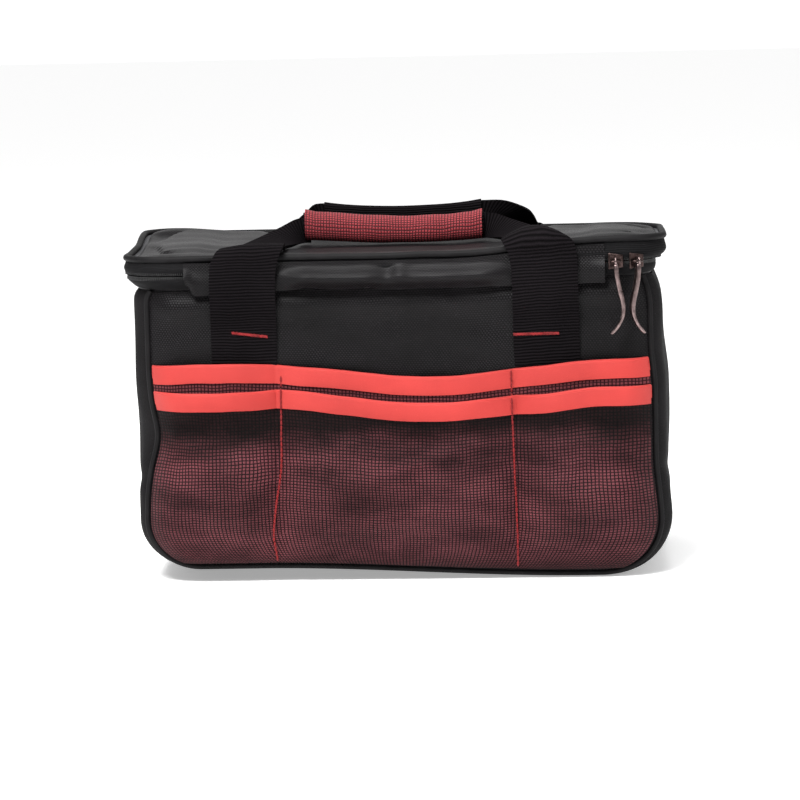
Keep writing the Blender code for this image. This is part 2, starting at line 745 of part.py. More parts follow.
def grip_rings(y, half_length, middle_tall, end_tall, half_depth, shrink):
    """Oval rings along a grip that is slimmer in its middle and rests on the lid."""
    rings = []
    for share in GRIP_SHARES:
        tall = middle_tall + (end_tall - middle_tall) * share * share
        centre = Vector((share * half_length, y, GRIP_REST + tall))
        ring = []
        for side in range(OVAL_SIDES):
            turn = math.tau * side / OVAL_SIDES
            across = (half_depth - shrink) * math.cos(turn)
            up = (tall - shrink) * math.sin(turn)
            ring.append(centre + Vector((0, across, up)))
        rings.append(ring)
    return rings


def handles(webbing, sleeve, grip_sleeve_depth):
    """Front handle with a woven sleeve, rear handle with a bare folded grip."""
    core_end = GRIP_HALF_LENGTH + GRIP_CORE_OVERRUN
    front_top = GRIP_REST + 2 * FRONT_GRIP_END_HALF_TALL - SLEEVE_WALL
    rear_top = GRIP_REST + 2 * REAR_GRIP_END_HALF_TALL
    front_pivot = -(STRAP_FRONT + WEBBING / 2 + PIVOT_OUT)
    rear_pivot = STRAP_REAR + WEBBING / 2 + PIVOT_OUT
    made = {"front_handle": [], "rear_handle": []}
    for word, side in (("left", -1), ("right", 1)):
        made["front_handle"].append(free_webbing(
            f"front_{word}_webbing", side, front_pivot, FRONT_GRIP_Y, front_top, webbing))
        made["rear_handle"].append(free_webbing(
            f"rear_{word}_webbing", side, rear_pivot, REAR_GRIP_Y, rear_top, webbing))
    front = (FRONT_GRIP_HALF_TALL, FRONT_GRIP_END_HALF_TALL, grip_sleeve_depth)
    outer = grip_rings(FRONT_GRIP_Y, GRIP_HALF_LENGTH, *front, 0.0)
    inner = grip_rings(FRONT_GRIP_Y, GRIP_HALF_LENGTH, *front, SLEEVE_WALL)
    core = grip_rings(FRONT_GRIP_Y, core_end, *front, SLEEVE_WALL + GAP)
    made["front_handle"].append(add_loft("front_grip_core", core, webbing))
    made["front_handle"].append(
        add_loft("front_grip_sleeve", outer + list(reversed(inner)), sleeve, closed=True))
    rear = grip_rings(REAR_GRIP_Y, core_end, REAR_GRIP_HALF_TALL, REAR_GRIP_END_HALF_TALL,
                      REAR_GRIP_HALF_DEPTH, 0.0)
    made["rear_handle"].append(add_loft("rear_grip_fold", rear, webbing))
    for name, y in (("front_handle", front_pivot), ("rear_handle", rear_pivot)):
        pivot = add_pivot(name, (0, y, PIVOT_HEIGHT))
        for piece in made[name]:
            keep_in_place(piece, pivot)


def add_pivot(name, place, turn=0.0):
    """An empty on a joint's axis, which the moving pieces hang from."""
    pivot = bpy.data.objects.new(name, None)
    pivot.location = place
    pivot.rotation_euler = (0, 0, turn)
    bpy.context.scene.collection.objects.link(pivot)
    bpy.context.view_layer.update()
    return pivot


def keep_in_place(piece, pivot):
    piece.parent = pivot
    piece.matrix_parent_inverse = pivot.matrix_world.inverted()


def extruded(name, outline, axis, low, high, finish):
    """Extrude an outline along an axis; outline gives the two other coordinates in order."""
    rings = []
    for level in (low, high):
        ring = []
        for first, second in outline:
            point = [first, second]
            point.insert(axis, level)
            ring.append(Vector(point))
        rings.append(ring)
    return add_loft(name, rings, finish, smooth=False)


def join_solids(piece, other, name):
    """Unite a second solid with a piece and keep it only as a guide."""
    union = piece.modifiers.new(name, "BOOLEAN")
    union.operation = "UNION"
    union.solver = "EXACT"
    union.object = other
    other.hide_render = True
    other.display_type = "WIRE"


def slider(name, finish):
    """Slider body: front and back plates joined between the coil halves, and the bridge.

    It is modelled with the zip along X and its outside towards -Y, centred on the zip line.
    """
    half = SLIDER_TALL / 2
    web = SLIDER_WEB / 2
    front_in = GAP
    front_out = front_in + SLIDER_PLATE
    back_in = TAPE_IN - LOOSE_GAP
    back_out = back_in - SLIDER_BACK_PLATE
    section = (
        (front_out, -half), (front_out, half), (front_in, half), (front_in, web),
        (back_in, web), (back_in, half), (back_out, half), (back_out, -half),
        (back_in, -half), (back_in, -web), (front_in, -web), (front_in, -half),
    )
    outline = [(-out, height) for out, height in section]
    body = extruded(name, outline, 0, -SLIDER_LENGTH / 2, SLIDER_LENGTH / 2, finish)
    outer = BRIDGE_OUT + BRIDGE_BAR / 2
    inner = BRIDGE_OUT - BRIDGE_BAR / 2
    root = front_in + SLIDER_PLATE / 2
    end = BRIDGE_HALF_LENGTH
    leg = end - BRIDGE_BAR
    arch = ((-end, root), (-end, outer), (end, outer), (end, root),
            (leg, root), (leg, inner), (-leg, inner), (-leg, root))
    outline = [(along, -out) for along, out in arch]
    bridge = extruded(name + "_bridge_guide", outline, 2, -BRIDGE_BAR / 2, BRIDGE_BAR / 2, finish)
    join_solids(body, bridge, "bridge")
    return body, bridge


def pull(name, hand, finish):
    """Long wave-shaped pull that hangs edge-on from the bridge; hand is the side it sweeps to."""
    half = PULL_THICKNESS / 2
    line = [Vector((hand * share * PULL_SWEEP, -down * PULL_LENGTH)) for down, share in PULL_SHARES]
    left, right = [], []
    for index, point in enumerate(line):
        before = line[max(index - 1, 0)]
        after = line[min(index + 1, len(line) - 1)]
        along = (after - before).normalized()
        across = Vector((-along.y, along.x)) * half
        left.append(point + across)
        right.append(point - across)
    outline = [(point.x, point.y) for point in left + list(reversed(right))]
    low, high = -BRIDGE_OUT - PULL_WIDTH / 2, -BRIDGE_OUT + PULL_WIDTH / 2
    bar = extruded(name, outline, 1, low, high, finish)
    rings = []
    for radius, x in ((PULL_EYE_RADIUS, -half), (PULL_EYE_RADIUS, half),
                      (PULL_EYE_BORE, half), (PULL_EYE_BORE, -half)):
        centre = Vector((x, -BRIDGE_OUT, 0))
        rings.append(tube_ring(centre, Vector((0, 1, 0)), Vector((0, 0, 1)), radius, OVAL_SIDES))
    eye = add_loft(name + "_eye_guide", rings, finish, closed=True)
    join_solids(bar, eye, "eye")
    return bar, eye


def sliders(metal):
    """Two sliders parked at the front right corner, the second one on the bend."""
    places = (
        ("left", Vector((LEFT_SLIDER_X, -ZIP_HALF_DEPTH, ZIP_HEIGHT)), 0.0, 1),
        ("right", None, RIGHT_SLIDER_TURN, -1),
    )
    for word, place, turn, hand in places:
        if place is None:
            place = Vector((
                ZIP_STRAIGHT + ZIP_CORNER * math.sin(turn),
                -(ZIP_HALF_DEPTH - ZIP_CORNER) - ZIP_CORNER * math.cos(turn),
                ZIP_HEIGHT,
            ))
        pieces = slider(word + "_slider", metal) + pull(word + "_pull", hand, metal)
        for piece in pieces:
            piece.location = place
            piece.rotation_euler = (0, 0, turn)


def build():
    clear_scene()
    cloth = make_material("black_nylon", (0.018, 0.017, 0.019), 0.75)
    mesh_cloth = make_material("pocket_mesh", (0.11, 0.02, 0.025), 0.8)
    red_tape = make_material("red_tape", (0.87, 0.08, 0.065), 0.7)
    piping = make_material("piping_rubber", (0.035, 0.035, 0.037), 0.45)
    webbing = make_material("black_webbing", (0.02, 0.018, 0.02), 0.8)
    sleeve = make_material("woven_sleeve", (0.3, 0.05, 0.06), 0.8)
    foam = make_material("foam", (0.35, 0.35, 0.36), 0.9)
    board = make_material("base_board", (0.05, 0.05, 0.05), 0.6)
    lining = make_material("lining_cloth", (0.06, 0.06, 0.065), 0.8)
    coil = make_material("zip_coil", (0.02, 0.02, 0.02), 0.5)
    metal = make_material("pull_metal", (0.5, 0.38, 0.36), 0.3, 1.0)

    body_panel("front_panel", -1, cloth)
    body_panel("back_panel", 1, cloth)
    gusset("gusset", cloth)
    body_piping("front_piping", -1, piping)
    body_piping("back_piping", 1, piping)
    inner_layers(foam, board, lining)
    mouth_band("mouth_band", cloth)
    zip_halves(webbing, coil)
    hinge_strip("hinge_strip", cloth)
    pocket_layer("pocket_back_layer", 0, mesh_cloth)
    pocket_layer("pocket_front_layer", 1, mesh_cloth)
    pocket_binding("upper_binding", 0, red_tape)
    pocket_binding("lower_binding", 1, red_tape)
    divider_stitch("left_divider_stitch", -1, red_tape)
    divider_stitch("right_divider_stitch", 1, red_tape)
    lid_layers(cloth, piping, foam, lining)
    zip_flap("zip_flap", cloth)
    for place, face, proud in (("front", -1, STRAP_FRONT), ("rear", 1, STRAP_REAR)):
        for word, side in (("left", -1), ("right", 1)):
            sewn_strap(f"{place}_{word}_strap", side, face, proud, webbing)
            bar_tack(f"{place}_{word}_tack", side, face, red_tape)
    handles(webbing, sleeve, FRONT_CORE_HALF_DEPTH + GAP + SLEEVE_WALL)
    sliders(metal)


build()
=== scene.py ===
# %% [markdown]
# # A soft tool bag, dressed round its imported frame
# The bag is black nylon with a zipped, padded lid, two webbing handles and a red-trimmed front
# pocket. Every cell below makes one part of it. Sizes are in metres, or in millimetres inside
# mm(); the front faces -Y and the floor is z = 0.

# %% Load the frame
import json
import math
from functools import partial

import bpy
from mathutils import Matrix, Vector, noise


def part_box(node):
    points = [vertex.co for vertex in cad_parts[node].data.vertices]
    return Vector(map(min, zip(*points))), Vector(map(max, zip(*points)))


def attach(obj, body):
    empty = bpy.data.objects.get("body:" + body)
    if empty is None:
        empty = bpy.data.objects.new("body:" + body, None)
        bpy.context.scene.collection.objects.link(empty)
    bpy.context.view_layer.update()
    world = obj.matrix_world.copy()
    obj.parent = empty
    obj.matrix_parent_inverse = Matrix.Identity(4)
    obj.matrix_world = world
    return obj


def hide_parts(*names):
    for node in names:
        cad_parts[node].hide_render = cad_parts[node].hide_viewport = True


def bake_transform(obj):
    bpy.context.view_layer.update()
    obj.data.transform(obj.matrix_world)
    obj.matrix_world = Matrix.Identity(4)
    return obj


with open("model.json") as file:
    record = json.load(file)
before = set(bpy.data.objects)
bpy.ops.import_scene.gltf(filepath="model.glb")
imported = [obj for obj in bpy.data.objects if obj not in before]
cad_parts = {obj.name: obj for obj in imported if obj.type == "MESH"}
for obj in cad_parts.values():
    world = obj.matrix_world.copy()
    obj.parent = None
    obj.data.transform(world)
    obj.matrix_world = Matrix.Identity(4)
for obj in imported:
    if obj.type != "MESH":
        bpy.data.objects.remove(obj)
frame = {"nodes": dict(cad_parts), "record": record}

SCENE = bpy.context.scene
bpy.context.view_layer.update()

# %% [markdown]
# ## Camera and light
# The photograph was taken with a long lens from just above the lid, a little to the right and
# slightly rolled. Stepping back from a point on the front along the line of sight gives the same
# view. The view transform is plain, so that the red trim keeps its strength.

# %% Camera
AIM = Vector((0.0021, -0.093, 0.1108))
DISTANCE = 2.4
TURN, RAISE, ROLL = (math.radians(angle) for angle in (3.0, 6.2, -1.3))
PIXELS_PER_METRE = 1642
FRAME_PIXELS = 800
SENSOR = 36.0


def link(name, data):
    made = bpy.data.objects.new(name, data)
    SCENE.collection.objects.link(made)
    return made


def add_camera():
    forward = Vector((-math.sin(TURN) * math.cos(RAISE), math.cos(TURN) * math.cos(RAISE),
                      -math.sin(RAISE)))
    level = Vector((math.cos(TURN), math.sin(TURN), 0))
    upright = level.cross(forward)
    right = level * math.cos(ROLL) + upright * math.sin(ROLL)
    up = upright * math.cos(ROLL) - level * math.sin(ROLL)
    data = bpy.data.cameras.new("product_view")
    data.sensor_width = SENSOR
    data.lens = PIXELS_PER_METRE * DISTANCE * SENSOR / FRAME_PIXELS
    SCENE.camera = link("product_view", data)
    turn = Matrix((right, up, -forward)).transposed().to_4x4()
    SCENE.camera.matrix_world = Matrix.Translation(AIM - forward * DISTANCE) @ turn
    print("camera lens", round(data.lens, 1))


add_camera()
SCENE.view_settings.view_transform = "Standard"

# %% Soft studio light
BAG_MIDDLE = Vector((0.0, 0.0, 0.1))
for word, place, size, power in (("overhead", (-0.1, -0.35, 1.6), (1.2, 0.8), 18),
                                 ("front", (-0.6, -1.5, 2.0), (0.9, 0.6), 84),
                                 ("right", (1.8, -0.8, 0.8), (0.8, 1.0), 5)):
    data = bpy.data.lights.new(f"{word}_softbox", "AREA")
    data.shape = "RECTANGLE"
    data.size, data.size_y = size
    data.energy = power
    lamp = link(data.name, data)
    lamp.location = place
    lamp.rotation_euler = (BAG_MIDDLE - Vector(place)).to_track_quat("-Z", "Y").to_euler()

# %% [markdown]
# ## Cloth patterns as shader groups
# Nylon, webbing, tape and mesh differ mostly in their weave. Each weave is a small group that
# reads a position in metres and puts out a height and a mask, so one group serves several
# finishes at its own pitch. A further group adds random patches of darker tone, partly wear and
# partly painted sheen and light, and specks of lint.


# %% Node helpers
def place_node(tree, kind, sockets=(), **settings):
    made = tree.nodes.new("ShaderNode" + kind)
    for key, value in settings.items():
        setattr(made, key, value)
    for key, value in dict(sockets).items():
        if isinstance(value, bpy.types.NodeSocket):
            tree.links.new(value, made.inputs[key])
        else:
            made.inputs[key].default_value = value
    return made


def calc(tree, operation, *values):
    return place_node(tree, "Math", enumerate(values), operation=operation).outputs[0]


def ramp(tree, value, low, high, at_low=0.0, at_high=1.0, kind="LINEAR"):
    values = enumerate((value, low, high, at_low, at_high))
    return place_node(tree, "MapRange", values, interpolation_type=kind).outputs[0]


def mix_colours(tree, share, first, second, **settings):
    return place_node(tree, "Mix", {0: share, 6: first, 7: second}, data_type="RGBA",
                      **settings).outputs[2]


def new_group(name, inputs, outputs):
    """An empty shader group; inputs are (name, socket kind, default) and outputs are names."""
    tree = bpy.data.node_groups.new(name, "ShaderNodeTree")
    for word, kind, value in inputs:
        socket = tree.interface.new_socket(word, in_out="INPUT", socket_type="NodeSocket" + kind)
        if value is not None:
            socket.default_value = value
    for word in outputs:
        tree.interface.new_socket(word, in_out="OUTPUT", socket_type="NodeSocketFloat")
    return tree, tree.nodes.new("NodeGroupInput").outputs, tree.nodes.new("NodeGroupOutput").inputs


# %% White backdrop, darker room
def add_world():
    """White behind the bag, brightest overhead, and darker on the camera's side of the room."""
    world = bpy.data.worlds.new("studio")
    world.use_nodes = True
    tree = world.node_tree
    way = place_node(tree, "TexCoord").outputs["Generated"]
    parts = place_node(tree, "SeparateXYZ", {0: way}).outputs
    aside = ramp(tree, calc(tree, "ABSOLUTE", parts[0]), 0.3, 0.8, 1.0, 0.12)
    dim = calc(tree, "MULTIPLY", aside, ramp(tree, parts[2], 0.0, 0.06, 1.0, 0.38))
    light = calc(tree, "MULTIPLY", ramp(tree, parts[1], 0.15, 0.7, 0.06, 1.6), dim)
    light = calc(tree, "MULTIPLY_ADD", calc(tree, "MAXIMUM", parts[2], 0.0), 0.8, light)
    tree.links.new(light, tree.nodes["Background"].inputs[1])
    tree.nodes["Background"].inputs[0].default_value = (1.0, 1.0, 1.0, 1.0)
    SCENE.world = world


add_world()


# %% Four weaves
def wave(do, count):
    """Rounded profile of one thread, 0 between threads and 1 on top."""
    return do("ABSOLUTE", do("SINE", do("MULTIPLY", count, math.pi)))


def basket_weave(tree, do, across, along):
    over = do("FLOORED_MODULO", do("ADD", do("FLOOR", across), do("FLOOR", along)), 2.0)
    warp = do("MULTIPLY", over, wave(do, across))
    weft = do("MULTIPLY", do("SUBTRACT", 1.0, over), wave(do, along))
    return do("ADD", warp, weft), over


def rib_weave(tree, do, across, along):
    rib = wave(do, along)
    fine = do("MULTIPLY_ADD", wave(do, across), 0.25, 0.75)
    return do("MULTIPLY", rib, fine), do("POWER", rib, 2.0)


def dot_weave(tree, do, across, along):
    shift = do("MULTIPLY", do("FLOORED_MODULO", do("FLOOR", along), 2.0), 0.5)
    aside, ahead = (do("SUBTRACT", do("FRACT", count), 0.5)
                    for count in (do("ADD", across, shift), along))
    reach = do("SQRT", do("ADD", do("MULTIPLY", aside, aside), do("MULTIPLY", ahead, ahead)))
    dot = ramp(tree, reach, 0.45, 0.15, kind="SMOOTHSTEP")
    return dot, dot


def grid_weave(tree, do, across, along):
    square = do("MINIMUM", wave(do, across), wave(do, along))
    return square, ramp(tree, square, 0.25, 0.75, kind="SMOOTHSTEP")


def make_weave(rule):
    inputs = (("Vector", "Vector", None), ("Across", "Float", 0.001), ("Along", "Float", 0.001))
    tree, given, result = new_group(rule.__name__, inputs, ("Height", "Over"))
    parts = place_node(tree, "SeparateXYZ", {0: given["Vector"]}).outputs
    across = calc(tree, "DIVIDE", parts[0], given["Across"])
    along = calc(tree, "DIVIDE", parts[1], given["Along"])
    for word, value in zip(("Height", "Over"), rule(tree, partial(calc, tree), across, along)):
        tree.links.new(value, result[word])
    return tree


# Shade is random patches: partly wear, partly painted sheen and light on the cloth.
def make_wear_and_sheen_patches():
    inputs = (("Vector", "Vector", None), ("Stretch", "Vector", (1.0, 1.0, 1.0)),
              ("Scale", "Float", 12.0), ("Lint", "Float", 0.5))
    tree, given, result = new_group("wear_and_sheen_patches", inputs, ("Shade", "Lint", "Crease"))
    patches = place_node(tree, "VectorMath", {0: given["Vector"], 1: given["Stretch"]},
                         operation="MULTIPLY").outputs[0]
    broad, fine, crease = (place_node(tree, "TexNoise", sockets).outputs[0] for sockets in (
        {"Vector": patches, "Scale": given["Scale"], "Detail": 4.0, "Roughness": 0.6},
        {"Vector": given["Vector"], "Scale": 900.0, "Detail": 1.0},
        {"Vector": given["Vector"], "Scale": 55.0, "Detail": 3.0, "Distortion": 0.6}))
    tree.links.new(ramp(tree, broad, 0.3, 0.7), result["Shade"])
    specks = calc(tree, "MULTIPLY", ramp(tree, fine, 0.68, 0.8), given["Lint"])
    tree.links.new(specks, result["Lint"])
    tree.links.new(crease, result["Crease"])
    return tree


WEAVES = (basket_weave, rib_weave, dot_weave, grid_weave)
GROUPS = {tree.name: tree for tree in (*map(make_weave, WEAVES), make_wear_and_sheen_patches())}
print("groups", sorted(GROUPS))

# %% [markdown]
# ## Finishes
# A cloth finish is two thread colours picked by the weave's mask, darkened and lightened in
# random patches that are partly wear and partly painted sheen and light, with the weave and soft
# creases as relief. Sheen gives nylon its pale edge where light grazes.
# Colours are in thousandths and thread pitches in millimetres.


# %% Finish makers
WANDER = 0.0025


def start_finish(name, roughness, metallic=0.0, gloss=0.5, **more):
    made = bpy.data.materials.new(name)
    made.use_nodes = True
    shader = made.node_tree.nodes["Principled BSDF"]
    more = {"Roughness": roughness, "Metallic": metallic, "Specular IOR Level": gloss, **more}
    for word, value in more.items():
        shader.inputs[word].default_value = value
    return made, made.node_tree, shader


def paint(colour):
    return tuple(value / 1000 for value in colour) + (1.0,)


def add_relief(tree, shader, height, depth, **below):
    sockets = {"Height": height, "Distance": depth, "Strength": 1.0, **below}
    relief = place_node(tree, "Bump", sockets).outputs[0]
    tree.links.new(relief, shader.inputs["Normal"])
    return relief


def add_wear_and_sheen(tree, scale, lint, stretch=1.0):
    spot = place_node(tree, "TexCoord").outputs
    sockets = {"Vector": spot["Object"], "Stretch": (1.0, 1.0, stretch), "Scale": scale,
               "Lint": lint}
    return spot, place_node(tree, "Group", sockets, node_tree=GROUPS["wear_and_sheen_patches"]).outputs


def cloth_finish(name, weave, pitch, ground, thread, roughness=0.7, depth=0.0002, sheen=0.02,
                 lint=0.3, read="UV", crease=0.0006, gloss=0.25, shade=0.72, patches=(12.0, 1.0),
                 painted_shade_by_height=()):
    """Woven finish; ground and thread are its colours, shade is the darkest patch.

    Patches are (scale, how much flatter than wide); the height fades are painted shade, given as
    (low z, high z, shares left there).
    """
    made, tree, shader = start_finish(name, roughness, gloss=gloss,
                                      **{"Sheen Weight": sheen, "Sheen Roughness": 0.4})
    spot, wear_and_sheen = add_wear_and_sheen(tree, patches[0], lint, patches[1])
    pull = place_node(tree, "TexNoise", {"Vector": spot["Object"], "Scale": 50.0, "Detail": 2.0})
    pulled = place_node(tree, "VectorMath", {0: pull.outputs[1], 1: (WANDER,) * 3, 2: spot[read]},
                        operation="MULTIPLY_ADD").outputs[0]
    sockets = {"Vector": pulled, "Across": mm(pitch[0]), "Along": mm(pitch[1])}
    woven = place_node(tree, "Group", sockets, node_tree=GROUPS[weave]).outputs
    colour = mix_colours(tree, woven["Over"], paint(ground), paint(thread))
    # Darker random patches, partly wear and partly painted sheen and light.
    dark = mix_colours(tree, 1.0, colour, (shade, shade, shade, 1.0), blend_type="MULTIPLY")
    colour = mix_colours(tree, wear_and_sheen["Shade"], dark, colour)
    # Painted shade: the colour is darkened towards black between the heights of each fade.
    for low, high, at_low, at_high in painted_shade_by_height:
        height = place_node(tree, "SeparateXYZ", {0: spot["Object"]}).outputs[2]
        height = calc(tree, "MULTIPLY_ADD", wear_and_sheen["Shade"], -0.010, height)
        left = ramp(tree, height, low, high, at_low, at_high)
        colour = mix_colours(tree, left, (0.0, 0.0, 0.0, 1.0), colour)
    pale = tuple(min(value * 1.6 + 0.02, 1.0) for value in paint(thread)[:3]) + (1.0,)
    colour = mix_colours(tree, wear_and_sheen["Lint"], colour, pale)
    tree.links.new(colour, shader.inputs["Base Color"])
    rough = calc(tree, "MULTIPLY_ADD", wear_and_sheen["Shade"], -0.12, roughness + 0.06)
    tree.links.new(rough, shader.inputs["Roughness"])
    soft = add_relief(tree, shader, wear_and_sheen["Crease"], crease)
    add_relief(tree, shader, woven["Height"], depth, Normal=soft)
    return made


def mottled_finish(name, dark, light, roughness, metallic=0.0, scale=60.0, gloss=0.5):
    """Solid finish whose colour and gloss vary a little over the surface."""
    made, tree, shader = start_finish(name, roughness, metallic, gloss)
    wear_and_sheen = add_wear_and_sheen(tree, scale, 0.2)[1]
    colour = mix_colours(tree, wear_and_sheen["Shade"], paint(dark), paint(light))
    colour = mix_colours(tree, wear_and_sheen["Lint"], colour, paint(light))
    tree.links.new(colour, shader.inputs["Base Color"])
    rough = calc(tree, "MULTIPLY_ADD", wear_and_sheen["Shade"], 0.16, roughness - 0.08)
    tree.links.new(rough, shader.inputs["Roughness"])
    add_relief(tree, shader, wear_and_sheen["Crease"], 0.0001)
    return made


def mm(value):
    """Millimetres to metres, also for whole tables."""
    return tuple(mm(part) for part in value) if isinstance(value, tuple) else value * 0.001


# %% All finishes
CLOTHS = {
    "black_nylon": dict(weave="dot_weave", pitch=(1.9, 0.95), ground=(1.2, 1.0, 1.2),
                        thread=(16.5, 14.2, 16.2), roughness=0.42, depth=0.0001, sheen=0.004,
                        gloss=0.11, shade=0.36, crease=0.0004, patches=(11.0, 1.6)),
    "matt_nylon": dict(weave="dot_weave", pitch=(1.9, 0.95), ground=(1.4, 1.2, 1.4),
                       thread=(20.5, 18.0, 20.0), roughness=0.75, depth=0.0001, sheen=0.002,
                       gloss=0.07, shade=0.4, crease=0.0004),
    "zip_tape": dict(weave="rib_weave", pitch=(0.8, 0.7), ground=(2.0, 2.0, 2.2),
                     thread=(9.5, 9.0, 9.8), roughness=0.8, depth=0.0001, sheen=0.0, gloss=0.08),
    "lining": dict(weave="basket_weave", pitch=(0.7, 0.7), ground=(35, 35, 38),
                   thread=(60, 60, 65), depth=0.0001),
    "upper_mesh": dict(weave="grid_weave", pitch=(2.2, 1.8), ground=(20, 4, 6),
                       thread=(170, 40, 47), roughness=0.75, gloss=0.10, shade=0.5),
    # Pocket mesh: its long flat patches are partly random tone and partly painted streaks of light
    # on its folds; its fades are painted shade, darker at the rounded bottom edge, which faces
    # down, and below the lower tape, where it is partly the dark panel showing through and partly
    # painted shade of the tape's overhang.
    "pocket_mesh": dict(weave="grid_weave", pitch=(2.2, 1.8), ground=(8, 2.6, 3.3),
                        thread=(136, 37, 44), roughness=0.75, gloss=0.10, shade=0.28,
                        patches=(20.0, 2.4), lint=0.05,
                        painted_shade_by_height=((-0.004, 0.012, 0.25, 1.0), (0.067, 0.092, 1.0, 0.12))),
    "red_tape": dict(weave="rib_weave", pitch=(0.9, 0.6), ground=(380, 20, 16),
                     thread=(565, 53, 46), roughness=0.65, depth=0.0001, sheen=0.1, lint=0.1,
                     crease=0.0003),
    "red_thread": dict(weave="rib_weave", pitch=(0.6, 0.4), ground=(120, 6, 7),
                       thread=(300, 16, 18), roughness=0.6, depth=0.0001, read="Object",
                       crease=0.0),
    "black_webbing": dict(weave="rib_weave", pitch=(1.2, 1.9), ground=(1.2, 0.9, 1.1),
                          thread=(9.2, 7.4, 8.7), roughness=0.85, depth=0.0004, sheen=0.0,
                          lint=0.15, gloss=0.04, shade=0.6),
    "woven_sleeve": dict(weave="grid_weave", pitch=(1.8, 1.6), ground=(50, 4.5, 7),
                         thread=(340, 38, 47), depth=0.0003, sheen=0.05, shade=0.6),
    "foam": dict(weave="dot_weave", pitch=(1.1, 1.1), ground=(300, 300, 310),
                 thread=(360, 360, 370), roughness=0.9, depth=0.0001, read="Object"),
}
FINISH = {name: cloth_finish(name, **look) for name, look in CLOTHS.items()}
for name, *look in (("piping", (5, 4.7, 5), (11, 10.4, 11), 0.6, 0.0, 60.0, 0.08),
                    ("zip_coil", (5, 5, 5.5), (12, 12, 12), 0.4),
                    ("base_board", (35, 35, 35), (55, 55, 55), 0.6),
                    ("slider_metal", (22, 15, 14), (90, 60, 56), 0.36, 1.0, 300.0),
                    ("pull_metal", (90, 65, 62), (270, 200, 195), 0.33, 1.0, 260.0)):
    FINISH[name] = mottled_finish(name, *look)

# Finishes with no piece of their own below go straight onto the hidden nodes of the frame.
SLOT_OF = {part["node"]: part["material_slot"] for part in frame["record"]["subparts"]}
for word, node in frame["nodes"].items():
    for place in node.material_slots:
        place.material = FINISH[SLOT_OF[word]]
print("finishes", sorted(FINISH))

# %% [markdown]
# ## How the pieces are made
# Cloth starts as a grid primitive whose points are moved onto the surface it is sewn to, and gets
# its thickness from Solidify. The grid's own map is kept in metres, so a weave follows the cloth
# through its folds. Cord is a bevelled curve turned into a mesh. What repeats, such as a stitch or
# a tooth, is modelled once and copied along a line.


# %% Modelling helpers
def only(piece):
    bpy.ops.object.select_all(action="DESELECT")
    piece.select_set(True)
    bpy.context.view_layer.objects.active = piece


def start_shape(kind, **settings):
    bpy.ops.object.select_all(action="DESELECT")
    getattr(bpy.ops.mesh, f"primitive_{kind}_add")(**settings)
    return bpy.context.active_object


def apply_modifier(piece, kind, **settings):
    only(piece)
    added = piece.modifiers.new(kind.lower(), kind)
    for key, value in settings.items():
        setattr(added, key, value)
    bpy.ops.object.modifier_apply(modifier=added.name)


def thicken(piece, thickness, **settings):
    apply_modifier(piece, "SOLIDIFY", **{"thickness": thickness, "offset": -1, **settings})
    return piece


def edit(piece, *steps):
    """Take steps in edit mode, each with the whole mesh selected."""
    only(piece)
    bpy.ops.object.mode_set(mode="EDIT")
    for step in steps:
        bpy.ops.mesh.select_all(action="SELECT")
        step()
    bpy.ops.object.mode_set(mode="OBJECT")


def cut_across(piece, heights):
    cut = partial(bpy.ops.mesh.bisect, plane_no=(0, 0, 1))
    edit(piece, *(partial(cut, plane_co=(0, 0, height)) for height in heights))


FACE_OUTWARDS = partial(bpy.ops.mesh.normals_make_consistent, inside=False)


def rename(piece, name):
    piece.name = piece.data.name = name
    return piece


SMOOTH_BELOW = math.radians(40)


def dress(piece, slot, body, *nodes, finish=None):
    """Shade a finished piece, give it its finish, hang it on its body and hide the nodes it stands
    for.
    """
    only(piece)
    bpy.ops.object.shade_smooth_by_angle(angle=SMOOTH_BELOW)
    piece.data.materials.clear()
    piece.data.materials.append(FINISH[finish or slot])
    if body:
        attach(piece, body)
    if nodes:
        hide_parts(*nodes)
    print(piece.name, len(piece.data.polygons), "faces on", body or "two bodies")
    return piece


def cloth_grid(name, columns, rows, place, size):
    """A grid moved onto a surface; place takes the shares across and up, size is in metres."""
    piece = rename(start_shape("grid", x_subdivisions=columns, y_subdivisions=rows, size=2), name)
    for corner in piece.data.uv_layers.active.data:
        corner.uv = (corner.uv[0] * size[0], corner.uv[1] * size[1])
    for point in piece.data.vertices:
        point.co = place((point.co.x + 1) / 2, (point.co.y + 1) / 2)
    return piece


def cord_piece(name, points, radius, closed=False):
    """A cord along a line, as a bevelled curve made into a mesh."""
    curve = bpy.data.curves.new(name, "CURVE")
    curve.dimensions = "3D"
    curve.bevel_depth = radius
    curve.bevel_resolution = 3
    curve.use_fill_caps = True
    line = curve.splines.new("POLY")
    line.points.add(len(points) - 1)
    for spot, point in zip(line.points, points):
        spot.co = (*point, 1.0)
    line.use_cyclic_u = closed
    only(link(name, curve))
    bpy.ops.object.convert(target="MESH")
    piece = rename(bpy.context.active_object, name)
    edit(piece, partial(bpy.ops.mesh.remove_doubles, threshold=0.00001), FACE_OUTWARDS)
    return piece


def repeat(name, model, places):
    """One mesh that holds a copy of the model at every place; the model itself is removed."""
    corners = [point.co.copy() for point in model.data.vertices]
    points, faces = [], []
    for place in places:
        for face in model.data.polygons:
            faces.append(tuple(len(points) + index for index in face.vertices))
        points += [place @ corner for corner in corners]
    mesh = bpy.data.meshes.new(name)
    mesh.from_pydata(points, [], faces)
    bpy.data.objects.remove(model, do_unlink=True)
    return link(name, mesh)


def clamp(value, low=0.0, high=1.0):
    return min(max(value, low), high)


def smooth(share):
    share = clamp(share)
    return share * share * (3 - 2 * share)


def bell(value, centre, width):
    return math.exp(-(((value - centre) / width) ** 2))


